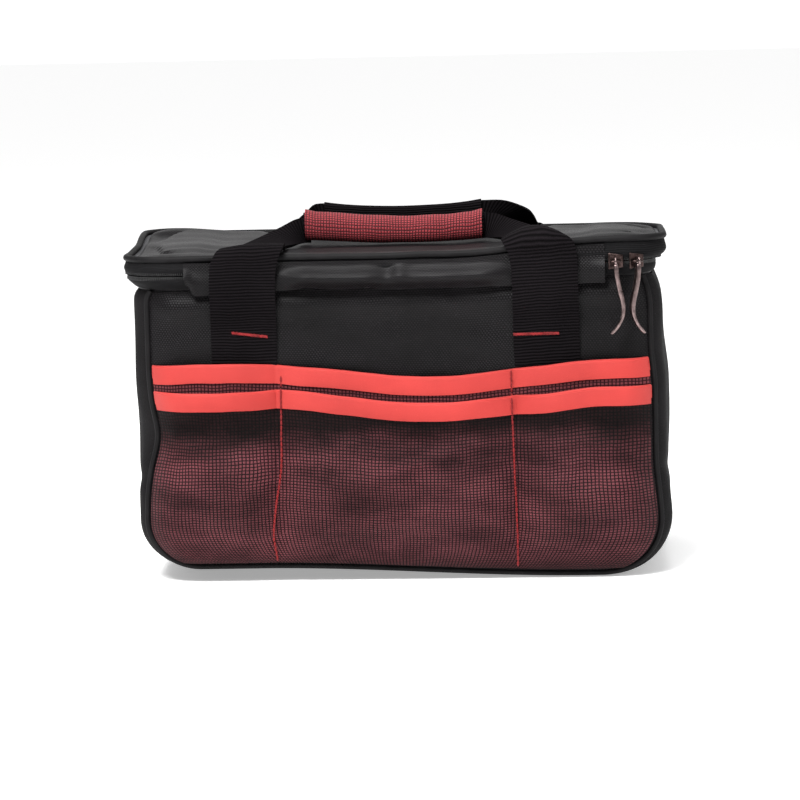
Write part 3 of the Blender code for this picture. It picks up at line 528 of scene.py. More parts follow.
def ripple(point, scale, seed=0.0):
    """Gentle repeatable unevenness between -1 and 1."""
    return noise.noise(Vector(point) * scale + Vector((seed, seed * 1.7, -seed)))


def curve_through(points, share):
    """A value or point on a smooth line through evenly spaced ones."""
    reach = share * (len(points) - 1)
    step = min(int(reach), len(points) - 2)
    part = reach - step
    before = points[max(step - 1, 0)]
    first, second = points[step], points[step + 1]
    after = points[min(step + 2, len(points) - 1)]
    bend = 2 * before - 5 * first + 4 * second - after
    turn = 3 * first - before - 3 * second + after
    return first + 0.5 * part * ((second - before) + part * (bend + part * turn))

# %% [markdown]
# ## The outline of the bag
# The lid, the zip and the walls share one outline, a rectangle with rounded corners. The walls
# meet the front and back panels in a piped seam that runs down, round and up again. These
# functions give any point on those lines. The last one moves a point of the straight bag to where
# the soft bag has settled: it has slumped in the middle and at the left end, its left seam is
# pushed in, its right side leans out, the zip draws both ends in, and its lower front edge has
# curled up.

# %% Sizes and lines
ZIP_HALF_WIDTH = 0.167
ZIP_HALF_DEPTH = 0.098
ZIP_CORNER = 0.030
HINGE_HALF_WIDTH = 0.120
ZIP_HEIGHT = (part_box("lower_zip_coil")[1].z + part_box("upper_zip_coil")[0].z) / 2
BODY_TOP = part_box("gusset")[1].z
LID_PIPING_HEIGHT = ZIP_HEIGHT + 0.0101
BODY_HALF_DEPTH = 0.0931
SIDE_ROUND = 0.0251
BASE_ROUND = 0.010
BASE_CORNER = 0.033
SEAM_HALF_WIDTH = 0.15475
SEAM_FLOOR = 0.0029
CORNER_HEIGHT = SEAM_FLOOR + BASE_CORNER
PIPING_RADIUS = 0.0017
QUARTER = math.radians(90)


def zip_line(travel, out=0.0):
    """Point, outward direction and full length along the zip, from the left end of the hinge."""
    across, ahead = ZIP_HALF_WIDTH - ZIP_CORNER, ZIP_HALF_DEPTH - ZIP_CORNER
    start, bend = across - HINGE_HALF_WIDTH, QUARTER * ZIP_CORNER
    runs = (start, bend, 2 * ahead, bend, 2 * across, bend, 2 * ahead, bend, start)
    corners = ((-across, ahead), (-across, -ahead), (across, -ahead), (across, ahead))
    starts = ((-HINGE_HALF_WIDTH, ZIP_HALF_DEPTH), (-ZIP_HALF_WIDTH, ahead),
              (-across, -ZIP_HALF_DEPTH), (ZIP_HALF_WIDTH, -ahead), (across, ZIP_HALF_DEPTH))
    left = clamp(travel, 0.0, sum(runs))
    index = 0
    while index < 8 and left > runs[index]:
        left -= runs[index]
        index += 1
    quarter, bent = divmod(index, 2)
    turn = QUARTER * (quarter + 1 + bent * left / bend)
    outward = Vector((math.cos(turn), math.sin(turn)))
    if bent:
        spot = Vector(corners[quarter]) + outward * ZIP_CORNER
    else:
        spot = Vector(starts[quarter]) + Vector((-outward.y, outward.x)) * left
    return spot + outward * out, outward, sum(runs)


ZIP_LENGTH = zip_line(0.0)[2]
SEAM_SIDE = BODY_TOP - CORNER_HEIGHT
SEAM_BEND = QUARTER * BASE_CORNER
SEAM_LENGTH = 2 * (SEAM_SIDE + SEAM_BEND + SEAM_HALF_WIDTH - BASE_CORNER)


def seam_line(share):
    """Place on the panel seam and its outward direction, from the top left round to the right."""
    inner = SEAM_HALF_WIDTH - BASE_CORNER
    hand = 1.0 if share > 0.5 else -1.0
    travel = (1 - share if share > 0.5 else share) * SEAM_LENGTH
    if travel < SEAM_SIDE:
        return hand * SEAM_HALF_WIDTH, BODY_TOP - travel, hand, 0.0
    travel -= SEAM_SIDE
    if travel < SEAM_BEND:
        turn = travel / BASE_CORNER
        side, down = hand * math.cos(turn), -math.sin(turn)
        return hand * inner + BASE_CORNER * side, CORNER_HEIGHT + BASE_CORNER * down, side, down
    return hand * (inner - (travel - SEAM_BEND)), SEAM_FLOOR, 0.0, -1.0


def edge_round(side):
    return BASE_ROUND + (SIDE_ROUND - BASE_ROUND) * side * side


def edge_point(station, turn, out, face):
    """A point on the rounded edge: turn 0 faces out of the side, 90 degrees out of the panel."""
    x, z, side, down = station
    radius = edge_round(side)
    reach = (radius + out) * math.cos(turn) - radius * math.cos(QUARTER / 2)
    depth = BODY_HALF_DEPTH - radius + (radius + out) * math.sin(turn)
    return Vector((x + reach * side, face * depth, z + reach * down))


def seam_half_width(height):
    drop = clamp(CORNER_HEIGHT - height, 0.0, BASE_CORNER)
    return SEAM_HALF_WIDTH - BASE_CORNER + math.sqrt(BASE_CORNER**2 - drop**2)


def panel_depth(x, z):
    """How far in front of the middle the outside of a panel lies."""
    beyond = abs(x) - (SEAM_HALF_WIDTH - BASE_CORNER)
    below = CORNER_HEIGHT - z
    distance, side = z - SEAM_FLOOR, 0.0
    if beyond > 0 and below > 0:
        reach = math.hypot(beyond, below)
        distance, side = BASE_CORNER - reach, beyond / reach
    elif SEAM_HALF_WIDTH - abs(x) < distance:
        distance, side = SEAM_HALF_WIDTH - abs(x), 1.0
    radius = edge_round(side)
    short = clamp(radius * math.cos(QUARTER / 2) - max(distance, 0.0), 0.0, radius)
    return BODY_HALF_DEPTH - radius + math.sqrt(radius**2 - short**2)


def settle(point):
    """Where a point of the straight bag lies on the slumped one."""
    x, y, z = point
    lid_part = smooth((z - ZIP_HEIGHT - 0.002) / 0.008)
    rise = 0.0035 * smooth((x - 0.03) / 0.12) * lid_part
    slump = 0.0045 * smooth((0.125 - x) / 0.10) * clamp(z / ZIP_HEIGHT)
    corner = smooth((-x - 0.105) / 0.05) * smooth((y + 0.02) / 0.10) * lid_part
    back_edge = smooth(y / 0.08) * lid_part * smooth((0.215 - z) / 0.006)
    curl = smooth((-y - 0.030) / 0.050) * smooth((0.115 - x) / 0.20) * max(1 - z / 0.06, 0.0)
    lift = smooth(0.5 - y / 0.19) * (rise - slump) + 0.0022 * corner + 0.0075 * curl
    lift -= (0.0010 + 0.0012 * smooth(1.2 - abs(x) / 0.13)) * back_edge
    dent = 0.0052 * bell(z, 0.088, 0.024) * smooth((-y - 0.045) / 0.045)
    high = smooth((z - 0.070) / 0.03) * smooth((0.190 - z) / 0.008)
    dent += 0.0034 * high * smooth((-y - 0.062) / 0.028)
    flare = 0.0022 * smooth((0.145 - z) / 0.03) + 0.0030 * smooth((0.075 - z) / 0.04)
    mouth = 0.0042 * bell(z, 0.1868, 0.0048) - 0.0015 * lid_part
    shift = (dent + mouth) * smooth((-x - 0.115) / 0.04) - 0.0045 * corner
    shift += flare * smooth((x - 0.10) / 0.05)
    reach = 0.0135 if z < 0.191 else 0.0052
    shift -= 0.0078 * smooth((x - 0.135) / 0.030) * bell(z, 0.191, reach)
    return Vector((x + shift, y, z + lift))


print("zip", round(ZIP_LENGTH, 3), "m, seam", round(SEAM_LENGTH, 3), "m")

# %% [markdown]
# ## Body of the bag
# The walls are one strip of nylon down the left side, under the bag and up the right, sewn to a
# front and a back panel. Each is lofted along the seam with rounded edges, then ruffled a little
# and settled, so the bag sags as cloth instead of standing as five plates.

# %% Walls, front and back
CLOTH = 0.0012
PIPING_HIDE = 0.0004
EDGE_SHARE = 0.16


def gusset_point(along, across):
    station = seam_line(along)
    side = station[2]
    radius = edge_round(side)
    half = QUARTER / 2 - PIPING_HIDE / radius
    if across < EDGE_SHARE:
        point = edge_point(station, half * (1 - across / EDGE_SHARE), 0.0, 1)
    elif across > 1 - EDGE_SHARE:
        point = edge_point(station, half * (across - 1 + EDGE_SHARE) / EDGE_SHARE, 0.0, -1)
    else:
        share = 1 - 2 * (across - EDGE_SHARE) / (1 - 2 * EDGE_SHARE)
        level = clamp((station[1] - CORNER_HEIGHT) / (BODY_TOP - CORNER_HEIGHT))
        swell = 0.0030 * abs(side) * math.sin(math.pi * level) * (1 - share * share)
        point = edge_point(station, 0.0, swell, 1)
        point.y = share * (BODY_HALF_DEPTH - radius)
    if abs(side) > 0.5:
        crease = bell(point.z, 0.058 + 0.1 * abs(point.y), 0.005)
        soft = 0.0011 * ripple(point, 22, 3) - 0.0009 * crease
        point.x += side * soft * smooth(point.z / 0.04)
    return settle(point)


def panel_point(face, across, up):
    z = SEAM_FLOOR + (BODY_TOP - SEAM_FLOOR) * up**1.5
    x = (2 * across - 1) * (seam_half_width(z) - PIPING_HIDE)
    inside = smooth((SEAM_HALF_WIDTH - abs(x)) / 0.03) * smooth((z - SEAM_FLOOR) / 0.03)
    if face < 0:
        inside *= 0.35 + 0.65 * smooth((z - 0.126) / 0.012)
    else:
        inside *= smooth((BODY_TOP - z) / 0.030)
    depth = panel_depth(x, z) + inside * 0.0020 * ripple((x, z, face), 18, 7)
    depth += inside * 0.0011 * ripple((x, z * 1.6, face), 42, 2)
    if face < 0:
        depth += 0.0024 * bell(z, 0.1735, 0.0055) * smooth((SEAM_HALF_WIDTH - abs(x)) / 0.02)
    return settle((-face * x, face * depth, z))


for name, grid, place, size, node, finish in (
        ("side_and_base_cloth", (260, 72), gusset_point, (SEAM_LENGTH, 0.19), "gusset",
         "matt_nylon"),
        ("front_cloth", (140, 84), partial(panel_point, -1), (0.31, 0.19), "front_panel", None),
        ("back_cloth", (120, 72), partial(panel_point, 1), (0.31, 0.19), "back_panel", None)):
    wall = thicken(cloth_grid(name, *grid, place, size), CLOTH, use_even_offset=True)
    dress(wall, "black_nylon", "bag", node, finish=finish)

# %% [markdown]
# Piping is a cord wrapped in smooth dark tape and caught in the seam. It is drawn as a bevelled
# curve along the seam, just proud of the rounded edge, so it catches a line of light.

# %% Piping in the seams
PIPING_PROUD = 0.0005
SEAM_STEPS = 220
for word, face in (("front", -1), ("back", 1)):
    points = []
    for step in range(SEAM_STEPS + 1):
        station = seam_line(step / SEAM_STEPS)
        point = settle(edge_point(station, QUARTER / 2, PIPING_PROUD, face))
        point.x += 0.0003 * ripple((point.z, point.x, 0), 30, 5)
        points.append(point)
    dress(cord_piece(f"{word}_seam_cord", points, PIPING_RADIUS), "piping", "bag", f"{word}_piping")

# %% [markdown]
# ## Front pocket
# Two layers of open red and black weave are stitched down along two lines, so that each layer
# makes three pockets. Between the stitch lines the cloth stands off the panel and billows
# downwards, with slanting folds where it is held. Each top edge is bound with bright red tape.

# %% Pocket surface
DIVIDER_X = 0.073
POCKET_EDGE = 0.134
POCKET_STEP = 0.0165
TAPE_WIDTH = 0.0118
# Height of each layer's top edge at even steps from x = -0.15 to 0.15
POCKET_TOPS = mm((
    (137.6, 138.5, 138.2, 136.1, 133.2, 129.6, 128.5, 130.1, 132, 134, 134.3),
    (121.4, 121.1, 121.2, 121.3, 117.6, 113.8, 112.8, 114, 115, 118, 117.6),
))
POCKET_FLOOR = SEAM_FLOOR + 0.0027
# Ends of each fold (x, z, x, z), its width and its height
POCKET_FOLDS = mm((
    (-140, 95, -85, 60, 7, 1.2), (-135, 62, -80, 30, 8, 1), (-60, 100, 0, 78, 8, 1.1),
    (-55, 55, 10, 72, 7, 0.9), (-40, 30, 50, 48, 8, 1.1), (5, 74, 66, 92, 6, 1.4),
    (20, 104, 70, 86, 5, -1.6), (78, 88, 130, 84, 6, 1.2), (80, 60, 145, 40, 8, 1.2),
    (85, 30, 140, 60, 9, 0.9),
))


def pocket_fold(x, z):
    """Height of the slanting folds, which end below the tape."""
    total = 0.0
    for x0, z0, x1, z1, width, height in POCKET_FOLDS:
        run = Vector((x1 - x0, z1 - z0))
        share = clamp((Vector((x - x0, z - z0)) @ run) / run.length_squared)
        near = Vector((x - x0 - share * run.x, z - z0 - share * run.y)).length
        total += height * bell(near, 0.0, width)
    return total * smooth((pocket_top(x, 1) - TAPE_WIDTH - 0.001 - z) / 0.010)


def pocket_top(x, layer):
    share = clamp((x + 0.15) / 0.30)
    return curve_through(POCKET_TOPS[layer], share) + 0.0003 * ripple((x, layer, 0), 60, 4)


def pocket_swell(x, z):
    """0 where a layer is held down by a seam, 1 in the middle of a pocket."""
    if abs(x) < DIVIDER_X:
        open_share = 1 - (abs(x) / DIVIDER_X) ** 4
    else:
        room = max(seam_half_width(z) - 0.0023 - DIVIDER_X, 0.001)
        open_share = 1 - abs(2 * (abs(x) - DIVIDER_X) / room - 1) ** 3
    return max(open_share, 0.0) * math.sin(QUARTER * clamp((z - SEAM_FLOOR) / 0.04))


def pocket_depth(x, z, layer, out=0.0):
    """Outside of a pocket layer, measured from the bag's middle."""
    held = 0.0062 * bell(z, pocket_top(x, 1) - 0.025, 0.012)
    fold = 2.2 * pocket_fold(x, z)
    if layer:
        stand = 0.0108 + 0.0036 * bell(z, 0.055, 0.026) - held + fold
        gape = smooth(1 - (pocket_top(x, layer) - z) / 0.02)
        stand += 0.0020 * bell(x, -0.118, 0.026) * gape
    else:
        stand = 0.0056 - 0.5 * held + min(fold, 0.0)
    return panel_depth(x, z) + 0.0003 + CLOTH * (1 + layer) + stand * pocket_swell(x, z) + out


def pocket_x(across, z):
    return (2 * across - 1) * (seam_half_width(z) - 0.0022)


def pocket_point(layer, across, up):
    guess = pocket_x(across, POCKET_EDGE)
    z = POCKET_FLOOR + (pocket_top(guess, layer) - 0.0008 - POCKET_FLOOR) * up**1.2
    x = pocket_x(across, z)
    return settle((x, -pocket_depth(x, z, layer), z))


# %% Two mesh layers
POCKET_WIDTH, POCKET_HEIGHT = 0.305, 0.131
MESH = 0.0008
meshes = [cloth_grid(name, *grid, partial(pocket_point, layer),
                     (POCKET_WIDTH, POCKET_HEIGHT - layer * POCKET_STEP))
          for layer, (name, grid) in enumerate((("pocket_back_mesh", (150, 60)),
                                                ("pocket_front_mesh", (220, 110))))]
for mesh_layer, node, finish in zip(meshes, ("pocket_back_layer", "pocket_front_layer"),
                                    ("upper_mesh", "pocket_mesh")):
    dress(thicken(mesh_layer, MESH), "pocket_mesh", "bag", node, finish=finish)
    low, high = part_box(node)

# %% Red binding tape over both top edges
TAPE = 0.0007
TAPE_OUT = 0.0004 + TAPE
TAPE_RADIUS = 0.5 * (MESH + 2 * (0.0003 + TAPE))
# Shares of the tape's width that lie in front, and of the rest that go over the edge
FRONT_SHARE, FOLD_SHARE = 0.62, 0.35
BEHIND = 0.007


def binding_point(layer, across, around):
    """Across the bag, and from the tape's lower front edge over the fold and down behind."""
    x = pocket_x(across, POCKET_EDGE)
    top = pocket_top(x, layer)
    if around < FRONT_SHARE:
        drop = (TAPE_WIDTH - TAPE_RADIUS) * (1 - around / FRONT_SHARE)
        z = top - TAPE_RADIUS - drop + 0.0003 * ripple((x, layer * 3, 1), 60, 6)
        depth = pocket_depth(x, z, layer, TAPE_OUT)
    else:
        share = (around - FRONT_SHARE) / (1 - FRONT_SHARE)
        turn = min(share / FOLD_SHARE, 1.0) * 2 * QUARTER
        down = max(share - FOLD_SHARE, 0.0) / (1 - FOLD_SHARE) * BEHIND
        middle = pocket_depth(x, top - TAPE_RADIUS, layer, TAPE_OUT - TAPE_RADIUS)
        z = top - TAPE_RADIUS * (1 - math.sin(turn)) - down
        depth = middle + TAPE_RADIUS * math.cos(turn)
    return settle((x, -depth, z))


for layer, word in enumerate(("upper", "lower")):
    tape = cloth_grid(f"{word}_red_tape", 200, 26, partial(binding_point, layer),
                      (POCKET_WIDTH, 0.021))
    dress(thicken(tape, TAPE), "red_tape", "bag", f"{word}_binding")

# %% [markdown]
# The dividers are lines of thick red thread through tapes, mesh and panel. One stitch is a short
# rounded bar pressed flat at its ends; it is copied down both lines, each copy a little uneven.


# %% Divider stitches
def thread_stitch(length, radius):
    """One stitch along Z: a cylinder whose ends are drawn in and bent into the cloth."""
    stitch = start_shape("cylinder", vertices=6, radius=radius, depth=length)
    cut_across(stitch, (-0.28 * length, 0.0, 0.28 * length))
    for point in stitch.data.vertices:
        end = (abs(point.co.z) / (length / 2)) ** 3
        narrow = 1 - 0.55 * end
        point.co.x *= narrow
        point.co.y = point.co.y * narrow + 0.9 * radius * end
    return stitch


# How far to the side each line lies, from the foot of the pocket to its top
DIVIDER_LINES = mm((
    (-74.2, -76.4, -74.5, -71.2, -70.6, -70.2), (72.2, 72.1, 71.8, 71.2, 70.4, 70.2),
))
STITCH = 0.0034
THREAD_RADIUS = 0.00068
THREAD_OUT = 0.0005


def divider_point(line, side, z):
    x = curve_through(line, clamp(z / 0.12)) + 0.0004 * ripple((z, side, 0), 60, 8)
    layer = 1 if z < pocket_top(x, 1) else 0
    over = TAPE_OUT if z > pocket_top(x, layer) - TAPE_WIDTH else 0.0
    return settle((x, -pocket_depth(x, z, layer, over + THREAD_OUT), z))


for word, side, line in zip(("left", "right"), (-1, 1), DIVIDER_LINES):
    places = []
    z = POCKET_FLOOR + STITCH
    while z < pocket_top(DIVIDER_X, 0) - STITCH / 2:
        low, spot, high = (divider_point(line, side, z + STITCH * part) for part in (-0.5, 0, 0.5))
        tilt = math.atan2(low.y - high.y, high.z - low.z)
        lean = Matrix.Rotation(0.10 * ripple((z, side, 2), 400, 1), 4, "Y")
        places.append(Matrix.Translation(spot) @ Matrix.Rotation(tilt, 4, "X") @ lean)
        z += STITCH
    row = repeat(f"{word}_divider_thread", thread_stitch(STITCH * 1.15, THREAD_RADIUS), places)
    dress(row, "red_thread", "bag", f"{word}_divider_stitch")

# %% [markdown]
# ## Mouth, zip tapes and teeth
# A nylon band covers the edges of wall, foam and lining and carries the lower zip tape; the upper
# tape hangs from the lid's seam. Strips like these are swept round the zip line from a short
# section. A coil zip shows as a close row of small upright loops with a bead where the halves meet.


# %% Bands round the mouth
def band(name, section, slot, body, nodes, thickness, behind=False):
    """Sweep (out, height) pairs round the zip line, or straight across the back behind it."""
    profile = [Vector(pair) for pair in section]

    def place(around, up):
        out, height = curve_through(profile, up)
        if behind:
            x = HINGE_HALF_WIDTH * (1 - 2 * around) * 1.002
            return settle((x, ZIP_HALF_DEPTH + out, height))
        spot, outward, _ = zip_line(around * ZIP_LENGTH, out)
        spot = spot + outward * 0.0002 * ripple((spot.x, spot.y, height * 3), 25, 9)
        return settle((spot.x, spot.y, height))

    columns, size = 60, (2 * HINGE_HALF_WIDTH, 0.01)
    if not behind:
        columns = int(ZIP_LENGTH / 0.0035)
        size = (ZIP_LENGTH, sum((b - a).length for a, b in zip(profile, profile[1:])))
    strip = cloth_grid(name, columns, 5 * (len(section) - 1), place, size)
    return dress(thicken(strip, thickness), slot, body, *nodes)


MOUTH = ((-0.0138, BODY_TOP + 0.0002), (-0.0096, BODY_TOP + 0.0003), (-0.0056, BODY_TOP + 0.0002),
         (-0.0043, BODY_TOP + 0.0012), (-0.0030, BODY_TOP + 0.0028), (-0.0024, BODY_TOP + 0.0046))
LOWER_TAPE = ((-0.0034, BODY_TOP + 0.0014), (-0.0012, BODY_TOP + 0.0030),
              (0.0000, BODY_TOP + 0.0055), (-0.0002, ZIP_HEIGHT - 0.0022),
              (-0.0012, ZIP_HEIGHT - 0.0007))
UPPER_TAPE = ((-0.0012, ZIP_HEIGHT + 0.0007), (-0.0003, ZIP_HEIGHT + 0.0021),
              (-0.0001, ZIP_HEIGHT + 0.0044), (-0.0018, LID_PIPING_HEIGHT - 0.0030),
              (-0.0026, LID_PIPING_HEIGHT - 0.0016))
HINGE = ((-0.0033, BODY_TOP + 0.0010), (-0.0020, BODY_TOP + 0.0036), (-0.0016, ZIP_HEIGHT),
         (-0.0019, LID_PIPING_HEIGHT - 0.0018))
band("mouth_cloth", MOUTH, "black_nylon", "bag", ("mouth_band",), 0.0018)
band("mouth_cloth_behind", MOUTH, "black_nylon", "bag", (), 0.0018, True)
band("lower_tape_cloth", LOWER_TAPE, "zip_tape", "bag", ("lower_zip_tape",), 0.0009)
band("upper_tape_cloth", UPPER_TAPE, "zip_tape", "lid", ("upper_zip_tape",), 0.0009)
hinge = band("hinge_cloth", HINGE, "black_nylon", None, ("hinge_strip",), 0.0010, True)
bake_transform(hinge)


# %% Zip teeth
TOOTH_HEIGHT = 0.0024
TOOTH_PITCH = 0.0013
TOOTH_IN = 0.0008
COIL_OFF = 0.0016
WAIST = -0.0004


def zip_tooth():
    """One loop of the coil: an upright bar with a bead at its meeting end."""
    tooth = start_shape("cylinder", vertices=6, radius=0.00042, depth=TOOTH_HEIGHT)
    cut_across(tooth, (WAIST, 0.0006))
    for point in tooth.data.vertices:
        if point.co.z > 0.001:
            point.co.x *= 1.35
            point.co.y *= 1.25
        if abs(point.co.z - WAIST) < 0.0001:
            point.co.y *= 1.5
    return tooth


for word, up, body in (("lower", 1, "bag"), ("upper", -1, "lid")):
    places = []
    for count in range(int(ZIP_LENGTH / TOOTH_PITCH)):
        spot, outward, _ = zip_line((count + (0.25 - 0.25 * up)) * TOOTH_PITCH, -TOOTH_IN)
        spot = settle((spot.x, spot.y, ZIP_HEIGHT - up * COIL_OFF))
        turn = Matrix.Rotation(math.atan2(outward.y, outward.x) + QUARTER, 4, "Z")
        flip = Matrix.Rotation((1 - up) * QUARTER, 4, "Y")
        places.append(Matrix.Translation(spot) @ turn @ flip)
    dress(repeat(f"{word}_teeth", zip_tooth(), places), "zip_coil", body, f"{word}_zip_coil")

# %% [markdown]
# ## Padded lid
# The lid is a foam pad in a nylon skin, sewn into the piping all round. A closed, slightly thin
# pad is given a little too much cloth and some air with the Cloth modifier while its rim is held,
# so it crowns and wrinkles as a sewn pad does. The seam and the map are made after that.


# %% Pad blown up by simulation
def lid_spot(across, ahead, out):
    """Map a square onto the lid, ring by ring, so that its rim follows the rounded outline."""
    px, py = 2 * across - 1, 2 * ahead - 1
    ring = max(abs(px), abs(py), 1e-6)
    half_width, half_depth = ZIP_HALF_WIDTH + out, ZIP_HALF_DEPTH + out
    corner = ZIP_CORNER + out
    x, y = abs(px) / ring * half_width, abs(py) / ring * half_depth
    inner_x, inner_y = half_width - corner, half_depth - corner
    if x > inner_x and y > inner_y:
        if abs(px) > abs(py):
            turn = (y - inner_y) / corner * QUARTER / 2
        else:
            turn = QUARTER - (x - inner_x) / corner * QUARTER / 2
        x, y = inner_x + corner * math.cos(turn), inner_y + corner * math.sin(turn)
    return Vector((math.copysign(x * ring, px), math.copysign(y * ring, py)))


def inward_share(across, ahead):
    return 1 - max(abs(2 * across - 1), abs(2 * ahead - 1))


CLOTH_SETTINGS = {"mass": 0.2, "tension_stiffness": 30, "compression_stiffness": 30,
                  "bending_stiffness": 0.6, "use_pressure": True}
CLOTH_FRAMES = 20


def blow_up(piece, held, pressure, spare, most):
    """Swell a closed skin with Cloth, keep the held points, and cap how far the others move."""
    before = [point.co.copy() for point in piece.data.vertices]
    sewn = piece.vertex_groups.new(name="sewn")
    sewn.add(held, 1.0, "REPLACE")
    cloth = piece.modifiers.new("cloth", "CLOTH")
    for key, value in CLOTH_SETTINGS.items():
        setattr(cloth.settings, key, value)
    cloth.settings.effector_weights.gravity = 0
    cloth.settings.uniform_pressure_force = pressure
    cloth.settings.shrink_min = -spare
    cloth.settings.vertex_group_mass = sewn.name
    cloth.point_cache.frame_end = CLOTH_FRAMES
    for step in range(1, CLOTH_FRAMES + 1):
        SCENE.frame_set(step)
    only(piece)
    bpy.ops.object.modifier_apply(modifier=cloth.name)
    piece.vertex_groups.clear()
    SCENE.frame_set(1)
    moved = 0.0
    for point, start in zip(piece.data.vertices, before):
        shift = point.co - start
        moved = max(moved, shift.length)
        if shift.length > most:
            point.co = start + shift * (most / shift.length)
    print(piece.name, "moved up to", round(moved * 1000, 1), "mm")


LID_SKIN_OUT = -0.0038
HELD_RIM = 0.0045
PAD_UNDER = 0.2001


def lid_skin_point(across, ahead):
    rise = 0.0002 * smooth(inward_share(across, ahead) / 0.10)
    return Vector((*lid_spot(across, ahead, LID_SKIN_OUT), LID_PIPING_HEIGHT + rise))


pad = thicken(cloth_grid("lid_pad", 76, 46, lid_skin_point, (0.324, 0.186)), 0.0050)
apply_modifier(pad, "REMESH", mode="VOXEL", voxel_size=0.004)
far_x, far_y = lid_spot(1.0, 0.5, LID_SKIN_OUT).x, lid_spot(0.5, 1.0, LID_SKIN_OUT).y
rim = [point.index for point in pad.data.vertices
       if point.co.z < LID_PIPING_HEIGHT - 0.0008 or
       far_x - abs(point.co.x) < HELD_RIM or far_y - abs(point.co.y) < HELD_RIM]
blow_up(pad, rim, 3.0, 0.020, 0.0014)
apply_modifier(pad, "SUBSURF", levels=1, render_levels=1)


# %% Seam, map and settling of the pad
def strap_press(x, y):
    """How far the rear straps press the lid's edge down."""
    return 0.0016 * smooth(1 - (abs(abs(x) - 0.0780) - 0.010) / 0.008) * smooth((y - 0.05) / 0.03)


def back_crown(x, y):
    """How far the padding stands up along the back, less at the right end."""
    ends = smooth((0.135 - x) / 0.05) * smooth((x + 0.17) / 0.09)
    return 0.0011 * smooth((y - 0.02) / 0.05) * ends


def free_crown(x, y, rim):
    """How far the padding stands up beside the straps and between the grips."""
    beside = smooth((abs(x) - 0.112) / 0.014)
    between = smooth((y + 0.012) / 0.012) * smooth((0.038 - y) / 0.012)
    between *= smooth((0.050 - abs(x)) / 0.020)
    return 0.0018 * (beside + between) * smooth((rim - 0.006) / 0.030)


pad_map = pad.data.uv_layers.new(name="cloth").data
for corner in pad.data.loops:
    x, y, z = pad.data.vertices[corner.vertex_index].co
    pad_map[corner.index].uv = (x, y + z)
for point in pad.data.vertices:
    x, y, z = point.co
    rim = min(ZIP_HALF_WIDTH - abs(x), ZIP_HALF_DEPTH - abs(y))
    if z > LID_PIPING_HEIGHT:
        fold = math.sin(y * 210 + 2.5 * ripple((x * 0.5, y, 0), 18, 3))
        near_front = smooth((-y - 0.01) / 0.05)
        z += smooth((rim - 0.006) / 0.02) * 0.00055 * fold * (0.35 + near_front)
        z += smooth((rim - 0.004) / 0.02) * 0.0010 * ripple((x, y, 0), 22, 6)
        z += back_crown(x, y) * smooth((rim - 0.003) / 0.010)
        z += free_crown(x, y, rim) - strap_press(x, y)
    else:
        z = max(z, PAD_UNDER + 0.0026 * (1 - smooth((rim - 0.0034) / 0.005)))
    point.co = settle((x, y, z))
dress(pad, "black_nylon", "lid", "lid_top_panel", "lid_foam")

# %% Piping round the lid, and the lid's inside
LID_STEPS = 300
LINING_CLOTH = 0.0008
lid_cord = []
for step in range(LID_STEPS + 1):
    x, y = zip_line(ZIP_LENGTH * step / LID_STEPS, -0.0030)[0]
    lift = 0.0007 * ripple((x, y, 0), 28, 2) - strap_press(x, y) - 0.9 * back_crown(x, y)
    lid_cord.append(settle((x, y, LID_PIPING_HEIGHT + lift)))
cord = cord_piece("lid_seam_cord", lid_cord, 0.0021, closed=True)
dress(cord, "piping", "lid", "lid_piping")


def lid_inside_point(across, ahead):
    inward = inward_share(across, ahead)
    spot = lid_spot(across, ahead, -0.0034)
    rise = 0.0030 * (1 - smooth(inward / 0.03))
    swell = -0.0006 * smooth(inward / 0.2) * abs(ripple((spot.x, spot.y, 0), 30, 8))
    return settle((-spot.x, spot.y, 0.1990 + rise + swell))


inside = cloth_grid("lid_inside_cloth", 90, 60, lid_inside_point, (0.33, 0.19))
dress(thicken(inside, LINING_CLOTH), "lining", "lid", "lid_lining", "lid_wall")

# %% [markdown]
# ## Lining
# Inside, the bag is lined with a plain grey cloth tub. Rings of the tub go down the wall, round
# the foot of it and in to the middle of the floor.

# %% Lining tub
# Inset and height of each ring
LINING_RINGS = mm((
    (0, 184), (0, 150), (0, 80), (0, 30), (2, 13), (7, 7), (16, 5.2), (45, 5), (86, 5),
))
LINING_CORNER = 0.020
LINING_GAP = 0.0005
WELD = 0.00002
lining_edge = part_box("lining")[1]


def lining_point(around, down):
    reach = down * (len(LINING_RINGS) - 1)
    step = min(int(reach), len(LINING_RINGS) - 2)
    part = reach - step
    inset, height = (above * (1 - part) + below * part
                     for above, below in zip(*LINING_RINGS[step:step + 2]))
    turn = 4 * QUARTER * around
    inset += LINING_GAP
    half = Vector((lining_edge.x - inset, max(lining_edge.y - inset, 0.0)))
    corner = clamp(LINING_CORNER + LINING_GAP - inset, 0.0001, half.y) if half.y else 0.0
    side, ahead = math.cos(turn), math.sin(turn)
    length = 1 / max(abs(side), abs(ahead))
    x = min(abs(side) * length, 1.0) * half.x
    y = min(abs(ahead) * length, 1.0) * half.y
    over = Vector((x - half.x + corner, y - half.y + corner))
    if corner and over.x > 0 and over.y > 0:
        over = over.normalized() * corner
        x, y = half.x - corner + over.x, half.y - corner + over.y
    x -= 0.010 * smooth((CORNER_HEIGHT - height) / CORNER_HEIGHT)
    wrinkle = 0.0006 * abs(ripple((x, y, height), 30, 4)) * smooth(down * 8)
    return settle((math.copysign(x - wrinkle, side), math.copysign(y - wrinkle, ahead), height))


tub = cloth_grid("lining_tub_cloth", 160, 48, lining_point, (0.96, 0.26))
apply_modifier(tub, "WELD", merge_threshold=WELD)
edit(tub, FACE_OUTWARDS, bpy.ops.mesh.flip_normals)
dress(thicken(tub, LINING_CLOTH), "lining", "bag", "lining")

